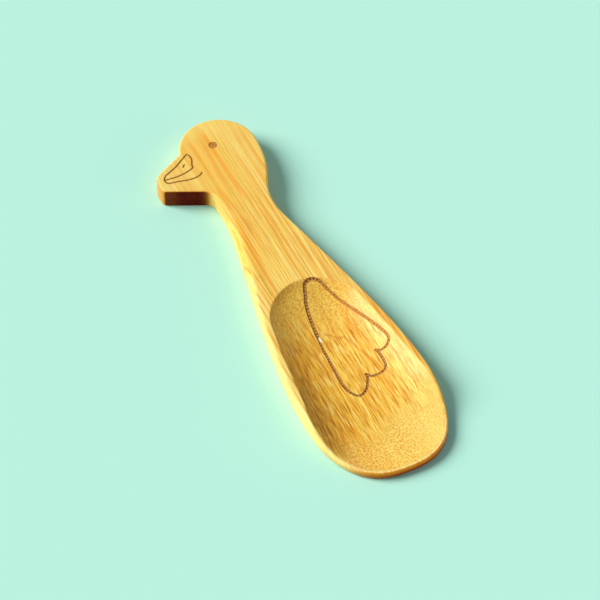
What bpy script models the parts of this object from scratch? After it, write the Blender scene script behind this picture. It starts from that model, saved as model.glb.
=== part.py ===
"""Bamboo spoon in the shape of a duck, built as a board of glued bamboo strips.

Bamboo is too thin and too curved to give a flat plank in one piece, so the board is made
of flat strips that stand side by side. Every glue joint is a plane across X, and the
fibres of every strip run along Y, from the bowl's tip to the duck's head. The duck's
outline is sawn through the whole board, its edges are rounded and the bowl is scooped
out of it. Each strip is therefore a solid of its own, and a strip that the outline cuts
in two, such as the outermost ones, gives one solid in the head and one in the bowl.

Units are metres. The underside lies on Z = 0 and +Y points to the head. The beak points
to -X. The origin is the middle of the spoon's box, on its underside.
"""

import math

import bmesh
import bpy
import numpy as np

MM = 0.001

# Board of strips, which is wider than the bowl by what is sawn away on each side
BOARD_THICKNESS = 5.4 * MM
SAW_ALLOWANCE = 1.0 * MM
STRIP_COUNT = 8
GLUE_FILM = 0.1 * MM

# Outline of the bowl and the handle, the same on both sides of the line X = AXIS_X
AXIS_X = 0.3 * MM
TIP_Y = -59.5 * MM
BOWL_WIDEST_Y = -36.7 * MM
BOWL_HALF_WIDTH = 16.6 * MM
TIP_FULLNESS = 2.5
BOWL_SWEEP = 22.7 * MM
NECK_Y = 29.9 * MM
NECK_HALF_WIDTH = 5.96 * MM
NECK_SWEEP = 9.3 * MM

# Outline of the head: a round crown, a nape that runs down into the handle, and a beak
HEAD_X = 2.05 * MM
HEAD_Y = 49.5 * MM
HEAD_RADIUS = 10.0 * MM
NAPE_START_Y = 22.0 * MM
NAPE_SWEEP_LOW = 13.2 * MM
NAPE_SWEEP_HIGH = 15.4 * MM
BROW_ANGLE = math.radians(166)
BROW_RADIUS = 1.2 * MM
BEAK_FRONT_X = -16.9 * MM
BEAK_TOP_Y = 47.1 * MM
BEAK_TOP_RADIUS = 2.3 * MM
BEAK_BOTTOM_Y = 42.1 * MM
BEAK_BOTTOM_RADIUS = 1.8 * MM
CHIN_Y = 36.7 * MM
CHIN_RADIUS = 2.4 * MM

# Rounded edges
HEAD_EDGE_RADIUS = 0.4 * MM
HANDLE_EDGE_RADIUS = 0.8 * MM
HEAD_EDGE_ENDS_Y = 38.0 * MM
HANDLE_EDGE_STARTS_Y = 24.0 * MM
UNDERSIDE_EDGE_RADIUS = 0.4 * MM

# Bowl: a dish with a flat rim, whose rim steps down to a thin lip at the tip
DISH_START_Y = 1.1 * MM
DISH_SHOULDER = 9.5 * MM
DISH_RUN_IN = 22.0 * MM
RUN_IN_POWER = 2.6
FLOOR_THICKNESS = 1.25 * MM
WALL_POWER = 2.8
TIP_RAMP = 14.5 * MM
TIP_RAMP_POWER = 2.3
RIM_WIDTH = 1.65 * MM
LIP_WIDTH = 0.5 * MM
RIM_NARROWS_FROM_Y = -26.7 * MM
RIM_NARROWS_TO_Y = -42.7 * MM
LIP_HEIGHT = 2.3 * MM
RIM_DROPS_FROM_Y = -35.7 * MM
RIM_DROPS_TO_Y = -51.5 * MM

# Fineness of the curves and of the solids
TIP_STEPS = 16
FLANK_STEPS = 18
NAPE_STEPS = 10
CROWN_STEPS = 12
CORNER_STEPS = 5
SHOULDER_STEPS = 7
RIM_DROP_STEPS = 6
CURVE_SAMPLES = 600
STATION_SPACING = 0.1 * MM
ROUNDING_STEPS = 3
DISH_STEPS = 4
WELD_DISTANCE = 0.00001 * MM

# What each solid of a strip shows, by strip number counted from the beak's side
HEAD_ENDS = {1: "beak_tip", 2: "beak_root", 7: "back_of_head"}
BOWL_ENDS = {1: "left_rim", 2: "left_wall", 7: "right_wall", 8: "right_rim"}
FULL_LENGTHS = {3: "chin", 4: "brow", 5: "eye", 6: "nape"}

# Straw tones of the strips, as linear red, green and blue
STRIP_TONES = (
    (0.86, 0.54, 0.15),
    (0.82, 0.48, 0.12),
    (0.88, 0.56, 0.16),
    (0.80, 0.45, 0.11),
    (0.87, 0.54, 0.15),
    (0.83, 0.50, 0.13),
    (0.88, 0.57, 0.17),
    (0.82, 0.48, 0.12),
)
STRIP_ROUGHNESS = 0.42


def smooth_step(value, start, end):
    """Return 0 before start, 1 after end and a smooth S-curve between them."""
    share = np.clip((value - start) / (end - start), 0.0, 1.0)
    return share * share * (3.0 - 2.0 * share)


def bezier(start, start_handle, end_handle, end, shares):
    """Return the points of a cubic curve at the given shares of it, as X and Y."""
    share = np.asarray(shares)[:, None]
    rest = 1.0 - share
    return (
        rest**3 * np.array(start)
        + 3.0 * rest**2 * share * np.array(start_handle)
        + 3.0 * rest * share**2 * np.array(end_handle)
        + share**3 * np.array(end)
    )


def rounded_corner(before, corner, after, radius):
    """Return the arc that rounds the corner between two straight lines."""
    before, corner, after = np.array(before), np.array(corner), np.array(after)
    inward = (before - corner) / np.linalg.norm(before - corner)
    outward = (after - corner) / np.linalg.norm(after - corner)
    half_angle = 0.5 * math.acos(float(np.clip(inward @ outward, -1.0, 1.0)))
    bisector = (inward + outward) / np.linalg.norm(inward + outward)
    centre = corner + bisector * radius / math.sin(half_angle)
    first = corner + inward * radius / math.tan(half_angle) - centre
    last = corner + outward * radius / math.tan(half_angle) - centre
    start_angle = math.atan2(first[1], first[0])
    turn = math.atan2(last[1], last[0]) - start_angle
    turn = (turn + math.pi) % (2.0 * math.pi) - math.pi
    angles = start_angle + turn * np.linspace(0.0, 1.0, CORNER_STEPS + 1)
    return centre + radius * np.column_stack([np.cos(angles), np.sin(angles)])


def tip_curve(steps):
    """Return half widths and Y from the tip to the bowl's widest place.

    The curve is a quarter of a superellipse.
    """
    angles = np.linspace(0.0, 0.5 * math.pi, steps + 1)
    power = 2.0 / TIP_FULLNESS
    half_width = BOWL_HALF_WIDTH * np.sin(angles) ** power
    y = BOWL_WIDEST_Y + (TIP_Y - BOWL_WIDEST_Y) * np.abs(np.cos(angles)) ** power
    return np.column_stack([half_width, y])


def flank_curve(shares):
    """Return half widths and Y on the cubic curve from the widest place to the neck."""
    return bezier(
        (BOWL_HALF_WIDTH, BOWL_WIDEST_Y),
        (BOWL_HALF_WIDTH, BOWL_WIDEST_Y + BOWL_SWEEP),
        (NECK_HALF_WIDTH, NECK_Y - NECK_SWEEP),
        (NECK_HALF_WIDTH, NECK_Y),
        shares,
    )


def head_point(angle):
    """Return the point of the crown's circle at an angle from +X."""
    return (HEAD_X + HEAD_RADIUS * math.cos(angle), HEAD_Y + HEAD_RADIUS * math.sin(angle))


def crown_curve(start_angle):
    """Return the crown's circle from an angle up to its highest point."""
    steps = round(CROWN_STEPS * abs(0.5 * math.pi - start_angle) / (0.5 * math.pi))
    angles = np.linspace(start_angle, 0.5 * math.pi, max(steps, 2) + 1)
    return np.array([head_point(angle) for angle in angles])


def right_side():
    """Return the duck's back: the outline from the tip over the nape up to the crown."""
    fine_shares = np.linspace(0.0, 1.0, CURVE_SAMPLES + 1)
    nape_share = np.interp(NAPE_START_Y, flank_curve(fine_shares)[:, 1], fine_shares)
    flank_steps = max(round(FLANK_STEPS * nape_share), 2)
    flank = flank_curve(np.linspace(0.0, nape_share, flank_steps + 1))
    ahead = flank_curve([nape_share - 1.0 / CURVE_SAMPLES, nape_share])
    leaving = (ahead[1] - ahead[0]) / np.linalg.norm(ahead[1] - ahead[0])
    lower_half = np.vstack([tip_curve(TIP_STEPS), flank[1:]]) + (AXIS_X, 0.0)
    nape_start = lower_half[-1]
    nape_end = np.array(head_point(0.0))
    nape = bezier(
        nape_start,
        nape_start + leaving * NAPE_SWEEP_LOW,
        nape_end - np.array([0.0, NAPE_SWEEP_HIGH]),
        nape_end,
        np.linspace(0.0, 1.0, NAPE_STEPS + 1),
    )
    return np.vstack([lower_half, nape[1:], crown_curve(0.0)[1:]])


def left_side():
    """Return the duck's front: the outline from the tip over the beak up to the crown."""
    neck = (AXIS_X - NECK_HALF_WIDTH, NECK_Y)
    chin = (AXIS_X - NECK_HALF_WIDTH, CHIN_Y)
    beak_bottom = (BEAK_FRONT_X, BEAK_BOTTOM_Y)
    beak_top = (BEAK_FRONT_X, BEAK_TOP_Y)
    brow = head_point(BROW_ANGLE)
    crown = crown_curve(BROW_ANGLE)
    corners = [
        rounded_corner(neck, chin, beak_bottom, CHIN_RADIUS),
        rounded_corner(chin, beak_bottom, beak_top, BEAK_BOTTOM_RADIUS),
        rounded_corner(beak_bottom, beak_top, brow, BEAK_TOP_RADIUS),
        rounded_corner(beak_top, brow, crown[1], BROW_RADIUS),
    ]
    above_brow = crown[crown[:, 1] > corners[-1][-1][1] + STATION_SPACING]
    flank = flank_curve(np.linspace(0.0, 1.0, FLANK_STEPS + 1))
    lower_half = np.vstack([tip_curve(TIP_STEPS), flank[1:]]) * (-1.0, 1.0) + (AXIS_X, 0.0)
    return np.vstack([lower_half] + corners + [above_brow])


def moved_inwards(side, distance, inward_x):
    """Return a side of an outline moved into the board by a distance.

    The distance is one number or one for each point. inward_x is -1 where the board lies
    towards -X of the side, and 1 where it lies towards +X. A point moves square to the
    line between its two neighbours.
    """
    along = np.gradient(side, axis=0)
    along = along / np.linalg.norm(along, axis=1)[:, None]
    inward = inward_x * np.column_stack([along[:, 1], -along[:, 0]])
    moved = side + inward * np.reshape(distance, (-1, 1))
    moved[:, 1] = np.maximum.accumulate(moved[:, 1])
    return moved


def top_edge_radius(y):
    """Return the top edge's radius, which is smaller round the head."""
    share = smooth_step(y, HANDLE_EDGE_STARTS_Y, HEAD_EDGE_ENDS_Y)
    return HANDLE_EDGE_RADIUS + (HEAD_EDGE_RADIUS - HANDLE_EDGE_RADIUS) * share


def rim_width(y):
    """Return the width of the flat rim beside the dish, which narrows to the lip."""
    share = smooth_step(-y, -RIM_NARROWS_FROM_Y, -RIM_NARROWS_TO_Y)
    return RIM_WIDTH + (LIP_WIDTH - RIM_WIDTH) * share


class Outline:
    """The duck's outline and the lines that follow it inside the board.

    Every line climbs along Y all the way, so it gives one X for each Y.
    """

    def __init__(self):
        self.right = right_side()
        self.left = left_side()
        self.top_right = moved_inwards(self.right, top_edge_radius(self.right[:, 1]), -1)
        self.top_left = moved_inwards(self.left, top_edge_radius(self.left[:, 1]), 1)
        self.under_right = moved_inwards(self.right, UNDERSIDE_EDGE_RADIUS, -1)
        self.under_left = moved_inwards(self.left, UNDERSIDE_EDGE_RADIUS, 1)
        flank = flank_curve(np.linspace(0.0, 1.0, CURVE_SAMPLES + 1))
        fine_side = np.vstack([tip_curve(CURVE_SAMPLES), flank[1:]])
        self.dish = moved_inwards(fine_side, rim_width(fine_side[:, 1]), -1)
        loop = np.vstack([self.right, self.left[::-1]])
        self.piece_starts = loop[:-1]
        self.piece_steps = loop[1:] - loop[:-1]

    def depth(self, x, y):
        """Return how far each point lies from the outline's nearest straight piece."""
        squares = np.maximum((self.piece_steps**2).sum(axis=1), WELD_DISTANCE**2)
        away = np.column_stack([x.ravel(), y.ravel()])[:, None, :] - self.piece_starts
        along = np.clip((away * self.piece_steps).sum(axis=2) / squares, 0.0, 1.0)
        gap = away - along[..., None] * self.piece_steps
        return np.sqrt((gap**2).sum(axis=2).min(axis=1)).reshape(x.shape)


OUTLINE = Outline()


def x_on(line, y):
    """Return a line's X at each Y."""
    return np.interp(y, line[:, 1], line[:, 0])


def crossings(line, x):
    """Return the Y values at which a line crosses a plane across X."""
    before = line[:-1, 0] - x
    after = line[1:, 0] - x
    cut = before * after < 0.0
    share = before[cut] / (before[cut] - after[cut])
    return line[:-1, 1][cut] + share * np.diff(line[:, 1])[cut]


def rounding(depth, radius):
    """Return how far a rounded edge falls below its face, at a depth in from the side."""
    short = np.clip(radius - depth, 0.0, radius)
    return radius - np.sqrt(radius**2 - short**2)


def rim_height(y):
    """Return the height of the board's top, which steps down to the lip at the tip."""
    share = smooth_step(-y, -RIM_DROPS_FROM_Y, -RIM_DROPS_TO_Y)
    return BOARD_THICKNESS + (LIP_HEIGHT - BOARD_THICKNESS) * share


def dish_half_width(y):
    """Return the dish's half width: the outline less the rim, closed by a round shoulder."""
    into = np.clip((DISH_START_Y - y) / DISH_SHOULDER, 0.0, 1.0)
    shoulder = np.sqrt(1.0 - (1.0 - into) ** 2)
    inside_tip = y > OUTLINE.dish[0, 1]
    return np.maximum(x_on(OUTLINE.dish, y), 0.0) * shoulder * inside_tip


def dish_floor(y):
    """Return the height of the dish along its middle line."""
    into = np.clip((DISH_START_Y - y) / DISH_RUN_IN, 0.0, 1.0)
    depth = (BOARD_THICKNESS - FLOOR_THICKNESS) * (1.0 - (1.0 - into) ** RUN_IN_POWER)
    up_the_tip = np.clip((TIP_Y + TIP_RAMP - y) / (TIP_RAMP - LIP_WIDTH), 0.0, 1.0)
    ramp = (LIP_HEIGHT - FLOOR_THICKNESS) * up_the_tip**TIP_RAMP_POWER
    return BOARD_THICKNESS - depth + ramp


def top_height(x, y):
    """Return the height of the spoon's upper surface.

    It is the lower of the rounded rim and the dish. Across the bowl, the dish climbs from
    its floor to the rim with a power of the distance from the middle line.
    """
    rim = rim_height(y)
    rounded_rim = rim - rounding(OUTLINE.depth(x, y), top_edge_radius(y))
    half_width = dish_half_width(y)
    in_dish = half_width > WELD_DISTANCE
    across = np.abs(x - AXIS_X) / np.where(in_dish, half_width, 1.0)
    in_dish = in_dish & (across < 1.0)
    dish = dish_floor(y) + (rim - dish_floor(y)) * np.minimum(across, 1.0) ** WALL_POWER
    return np.where(in_dish, np.minimum(rounded_rim, dish), rounded_rim)


def underside_height(x, y):
    """Return the height of the flat underside, rounded up at its edge."""
    return rounding(OUTLINE.depth(x, y), UNDERSIDE_EDGE_RADIUS)


def strip_limits(number):
    """Return the X values between which a strip lies, less its half of each glue film.

    The strips share the board's width evenly, and the board's middle is at X = 0. The
    outermost strips have no side but the outline.
    """
    strip_width = 2.0 * (BOWL_HALF_WIDTH + SAW_ALLOWANCE) / STRIP_COUNT
    low = (number - 1 - STRIP_COUNT / 2) * strip_width + 0.5 * GLUE_FILM
    high = (number - STRIP_COUNT / 2) * strip_width - 0.5 * GLUE_FILM
    if number == 1:
        low = -math.inf
    if number == STRIP_COUNT:
        high = math.inf
    return low, high


def strip_runs(low, high):
    """Return the stretches of Y over which a strip lies inside the outline."""
    right, left = OUTLINE.right, OUTLINE.left
    cuts = [crossings(line, x) for line in (right, left) for x in (low, high) if abs(x) < math.inf]
    edges = np.unique(np.concatenate([right[:, 1], left[:, 1]] + cuts))
    middles = 0.5 * (edges[:-1] + edges[1:])
    width = np.minimum(high, x_on(right, middles)) - np.maximum(low, x_on(left, middles))
    runs = []
    for inside, start, end in zip(width > 0.0, edges[:-1], edges[1:]):
        if inside and runs and runs[-1][1] == start:
            runs[-1] = (runs[-1][0], end)
        elif inside:
            runs.append((start, end))
    return runs


def dish_stations():
    """Return the Y values at which the dish and its rim turn."""
    angles = np.linspace(0.0, 0.5 * math.pi, SHOULDER_STEPS + 1)
    shoulder = DISH_START_Y - DISH_SHOULDER * (1.0 - np.cos(angles))
    drop = np.linspace(RIM_DROPS_FROM_Y, RIM_DROPS_TO_Y, RIM_DROP_STEPS + 1)
    ramp = np.linspace(TIP_Y + TIP_RAMP, OUTLINE.dish[0, 1], RIM_DROP_STEPS + 1)
    return np.concatenate([shoulder, drop, ramp])


def stations_between(start, end, low, high):
    """Return the Y values of the sections of a run.

    The run's ends, the outline's crossings of the strip's sides and the start of the dish
    are all kept. The others are left out where they come closer than a set spacing.
    """
    lines = (OUTLINE.right, OUTLINE.left)
    insets = (OUTLINE.top_right, OUTLINE.top_left, OUTLINE.under_right, OUTLINE.under_left)
    kept = [[start, end, DISH_START_Y]]
    kept += [crossings(line, x) for line in lines for x in (low, high) if abs(x) < math.inf]
    kept = np.unique(np.concatenate(kept))
    kept = list(kept[(kept >= start) & (kept <= end)])
    others = np.concatenate([line[:, 1] for line in lines] + [dish_stations()])
    others = np.concatenate([others] + [inset[[0, -1], 1] for inset in insets])
    for y in np.sort(others):
        if start < y < end and np.min(np.abs(np.array(kept) - y)) > STATION_SPACING:
            kept.append(float(y))
    return np.sort(np.array(kept))


def columns_between(knots, spacings):
    """Return the X values of a section's columns, one array for each knot and step.

    Each spacing lists the shares of the way to the next knot at which columns stand.
    """
    columns = [knots[0]]
    for start, end, shares in zip(knots[:-1], knots[1:], spacings):
        columns += [start + (end - start) * share for share in shares]
    return np.column_stack(columns)


def strip_columns(y, low, high):
    """Return the X values of the columns of the upper and of the lower surface.

    The upper surface has a column on each line that its shape has: the inner edge of the
    rounding and the edge of the dish. A line that lies outside the strip folds up at the
    strip's side, where its points are welded.
    """
    left = np.maximum(low, x_on(OUTLINE.left, y))
    right = np.maximum(np.minimum(high, x_on(OUTLINE.right, y)), left)
    top_left = x_on(OUTLINE.top_left, y)
    top_right = np.maximum(x_on(OUTLINE.top_right, y), top_left)
    dish_left = np.clip(AXIS_X - dish_half_width(y), top_left, top_right)
    dish_right = np.clip(AXIS_X + dish_half_width(y), top_left, top_right)
    under_left = x_on(OUTLINE.under_left, y)
    under_right = np.maximum(x_on(OUTLINE.under_right, y), under_left)
    upper = [left, top_left, dish_left, dish_right, top_right, right]
    lower = [left, under_left, under_right, right]
    arc = np.linspace(0.0, 0.5 * math.pi, ROUNDING_STEPS + 1)
    outwards = np.sin(arc)[1:]
    inwards = 1.0 - np.cos(arc)[1:]
    across_dish = np.linspace(0.0, 1.0, DISH_STEPS + 1)[1:]
    upper = columns_between(
        [np.clip(knot, left, right) for knot in upper],
        (inwards, (1.0,), across_dish, (1.0,), outwards),
    )
    lower = columns_between(
        [np.clip(knot, left, right) for knot in lower],
        (inwards, (1.0,), outwards),
    )
    return upper, lower


def strip_mesh(name, low, high, start, end):
    """Return a strip's mesh: rings of points round its sections, joined from end to end."""
    y = stations_between(start, end, low, high)
    upper_x, lower_x = strip_columns(y, low, high)
    upper_y = np.repeat(y[:, None], upper_x.shape[1], axis=1)
    lower_y = np.repeat(y[:, None], lower_x.shape[1], axis=1)
    ring_x = np.hstack([upper_x, lower_x[:, ::-1]])
    ring_y = np.hstack([upper_y, lower_y])
    upper_z = top_height(upper_x, upper_y)
    lower_z = underside_height(lower_x, lower_y)
    ring_z = np.hstack([upper_z, lower_z[:, ::-1]])
    rows, columns = ring_x.shape

    mesh = bmesh.new()
    points = np.stack([ring_x, ring_y, ring_z], axis=-1).reshape(-1, 3)
    vertices = [mesh.verts.new(point) for point in points]
    for row in range(rows - 1):
        for column in range(columns):
            following = (column + 1) % columns
            mesh.faces.new((
                vertices[row * columns + column],
                vertices[row * columns + following],
                vertices[(row + 1) * columns + following],
                vertices[(row + 1) * columns + column],
            ))
    for row in (0, rows - 1):
        mesh.faces.new(vertices[row * columns:(row + 1) * columns])
    bmesh.ops.remove_doubles(mesh, verts=mesh.verts, dist=WELD_DISTANCE)
    bmesh.ops.triangulate(mesh, faces=mesh.faces)
    bmesh.ops.dissolve_degenerate(mesh, edges=mesh.edges, dist=WELD_DISTANCE)
    bmesh.ops.recalc_face_normals(mesh, faces=mesh.faces)
    data = bpy.data.meshes.new(name)
    mesh.to_mesh(data)
    mesh.free()
    data.shade_smooth()
    data.set_sharp_from_angle(angle=math.radians(30))
    return data


def strip_material(number):
    """Return the material of a strip: clear-lacquered bamboo in the strip's own tone."""
    material = bpy.data.materials.new(f"bamboo_strip_{number}")
    material.use_nodes = True
    shader = material.node_tree.nodes["Principled BSDF"]
    tone = STRIP_TONES[(number - 1) % len(STRIP_TONES)]
    shader.inputs["Base Color"].default_value = (*tone, 1.0)
    shader.inputs["Roughness"].default_value = STRIP_ROUGHNESS
    shader.inputs["Metallic"].default_value = 0.0
    return material


def solid_name(number, start, end):
    """Return a solid's name from its strip's number and what it shows of the duck."""
    if start < DISH_START_Y and end > NECK_Y:
        label = FULL_LENGTHS.get(number, "full_length")
    elif end > NECK_Y:
        label = HEAD_ENDS.get(number, "head")
    else:
        label = BOWL_ENDS.get(number, "bowl")
    return f"strip_{number}_{label}"


def clear_scene():
    """Remove every object that the scene holds."""
    for item in list(bpy.data.objects):
        bpy.data.objects.remove(item, do_unlink=True)


def build_spoon():
    """Build every solid of every strip under one empty."""
    spoon = bpy.data.objects.new("spoon", None)
    bpy.context.scene.collection.objects.link(spoon)
    for number in range(1, STRIP_COUNT + 1):
        low, high = strip_limits(number)
        material = strip_material(number)
        for start, end in strip_runs(low, high):
            name = solid_name(number, start, end)
            data = strip_mesh(name, low, high, start, end)
            data.materials.append(material)
            solid = bpy.data.objects.new(name, data)
            solid.parent = spoon
            bpy.context.scene.collection.objects.link(solid)


clear_scene()
build_spoon()
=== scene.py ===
"""Bamboo spoon in the shape of a duck, dressed for a studio picture.

The spoon is a board of eight bamboo strips that stand side by side. It is sawn to a
duck's outline, rounded along its edges and scooped out to a bowl, and the eye, the beak
and the wing are burnt into it. Each strip gets its finished surface and a bamboo
material here, and the spoon lies on a plain floor in soft light.

Lengths are metres unless a name or a note says millimetres. The underside lies on Z = 0,
+Y points to the duck's head and the beak points to -X.
"""

import logging
import math
from collections.abc import Callable
from dataclasses import dataclass, field
from enum import Enum

import bmesh
import bpy
import numpy as np
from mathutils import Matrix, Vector


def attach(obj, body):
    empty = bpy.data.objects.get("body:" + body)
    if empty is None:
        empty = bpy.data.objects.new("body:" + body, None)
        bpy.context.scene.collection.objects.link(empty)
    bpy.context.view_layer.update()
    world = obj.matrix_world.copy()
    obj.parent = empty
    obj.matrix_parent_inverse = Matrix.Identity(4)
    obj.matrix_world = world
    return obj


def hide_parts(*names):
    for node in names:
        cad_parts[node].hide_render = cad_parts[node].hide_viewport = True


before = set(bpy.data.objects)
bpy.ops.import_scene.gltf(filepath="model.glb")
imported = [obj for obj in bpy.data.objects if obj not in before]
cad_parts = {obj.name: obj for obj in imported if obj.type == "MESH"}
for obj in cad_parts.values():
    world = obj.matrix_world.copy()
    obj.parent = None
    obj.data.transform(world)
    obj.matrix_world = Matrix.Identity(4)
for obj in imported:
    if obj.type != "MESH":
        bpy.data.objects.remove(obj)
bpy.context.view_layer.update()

MM = 0.001
PER_MM = 1000.0
QUARTER = 0.5 * math.pi
SHARES = np.linspace(0.0, 1.0, 601)
ARC_SHARES = np.linspace(0.0, 1.0, 41)
CURVE_STEPS = 16
BATCH = 4000
FAR = 10.0

Array = np.ndarray
Tree = bpy.types.NodeTree
Colour = tuple[float, float, float]
Direction = tuple[float, float, float]
Wave = tuple[float, float, float]
Point = tuple[float, float]
Pair = tuple[float, float]
# A span is where something starts and where it is full, upwards or downwards. A plateau
# also has where it fades and where it ends.
Span = tuple[float, float]
Plateau = tuple[float, float, float, float]

log = logging.getLogger("bamboo_spoon")


def smooth_step(value: Array, start: float, end: float) -> Array:
    """Return 0 before start, 1 after end and 3s^2 - 2s^3 for the share s between them."""
    share = np.clip((value - start) / (end - start), 0.0, 1.0)
    return share * share * (3.0 - 2.0 * share)


def plateau(value: Array, start: float, full: float, fades: float, end: float) -> Array:
    """Return 1 from full to fades and 0 outside start and end, with smooth steps between."""
    return smooth_step(value, start, full) * (1.0 - smooth_step(value, fades, end))


def mix(first: Array, second: Array, share: Array) -> Array:
    """Return the first value plus a share of the difference to the second."""
    return first + (second - first) * share


def soft_lower(first: Array, second: Array, reach: float) -> Array:
    """Return the lower of two surfaces, less a quarter of the reach times their nearness squared."""
    near = np.clip(1.0 - np.abs(first - second) / reach, 0.0, 1.0)
    return np.minimum(first, second) - 0.25 * reach * near**2


def unit(vectors: Array) -> Array:
    """Return a vector, or each row of vectors, divided by its length."""
    return vectors / np.linalg.norm(vectors, axis=-1, keepdims=True)


def circle(angles: Array) -> Array:
    """Return the cosine and sine of each angle, points of a circle of radius 1."""
    return np.column_stack([np.cos(angles), np.sin(angles)])


def travelled(line: Array) -> Array:
    """Return how far along a line each of its points is, the sum of the steps before it."""
    return np.concatenate([[0.0], np.cumsum(np.linalg.norm(np.diff(line, axis=0), axis=1))])


def bezier(points: tuple[Array | Point, ...], shares: Array) -> Array:
    """Return a cubic curve, the blend of its four points by Bernstein weights.

    Args:
        points: The curve's start, the two points that pull it, and its end.
        shares: How far along the curve the result's points are, from 0 to 1.

    Returns:
        Rows of X and Y on the curve.
    """
    share = shares[:, None]
    rest = 1.0 - share
    weights = (rest**3, 3.0 * rest**2 * share, 3.0 * rest * share**2, share**3)
    return sum(weight * np.array(point) for weight, point in zip(weights, points))


def outward_normals(loop: Array) -> Array:
    """Return normals of an anticlockwise loop: the step between neighbours, turned clockwise."""
    along = unit(np.roll(loop, -1, axis=0) - np.roll(loop, 1, axis=0))
    return np.column_stack([along[:, 1], -along[:, 0]])


def rounded_corner(before: Point, corner: Point, after: Point, radius: float) -> Array:
    """Return the arc of a radius that touches both lines of a corner.

    The arc's centre lies on the corner's bisector, at the radius over the sine of half
    the corner's angle.

    Args:
        before: Point that the first line comes from.
        corner: Where the two lines meet.
        after: Point that the second line goes to.
        radius: Radius of the arc.

    Returns:
        The arc's points, from the first line to the second.
    """
    inward, outward = unit(np.subtract(before, corner)), unit(np.subtract(after, corner))
    half_angle = 0.5 * math.acos(float(np.clip(inward @ outward, -1.0, 1.0)))
    centre = np.array(corner) + unit(inward + outward) * radius / math.sin(half_angle)
    first = corner + inward * radius / math.tan(half_angle) - centre
    last = corner + outward * radius / math.tan(half_angle) - centre
    start = math.atan2(first[1], first[0])
    turn = (math.atan2(last[1], last[0]) - start + math.pi) % (2.0 * math.pi) - math.pi
    return centre + radius * circle(start + turn * ARC_SHARES)


def curve_through(points: Array, spacing: float) -> Array:
    """Return a smooth line through points, a Catmull-Rom curve of even spacing.

    Each stretch between two points is a cubic whose slope at a point is half the step
    from the point before it to the point after it.

    Args:
        points: Rows of X and Y that the line runs through.
        spacing: Distance between the points of the result.

    Returns:
        Rows of X and Y at even distances along the line.
    """
    padded = np.vstack([2.0 * points[0] - points[1], points, 2.0 * points[-1] - points[-2]])
    share = np.arange(CURVE_STEPS)[None, :, None] / CURVE_STEPS
    before, start, end, after = (padded[k:len(padded) - 3 + k, None, :] for k in range(4))
    cubic = 0.5 * (
        2.0 * start
        + (end - before) * share
        + (2.0 * before - 5.0 * start + 4.0 * end - after) * share**2
        + (3.0 * start - before - 3.0 * end + after) * share**3
    )
    line = np.vstack([cubic.reshape(-1, 2), points[-1]])
    reached = travelled(line)
    even = np.linspace(0.0, reached[-1], max(int(reached[-1] / spacing), 2) + 1)
    return np.column_stack([np.interp(even, reached, line[:, k]) for k in (0, 1)])


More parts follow.
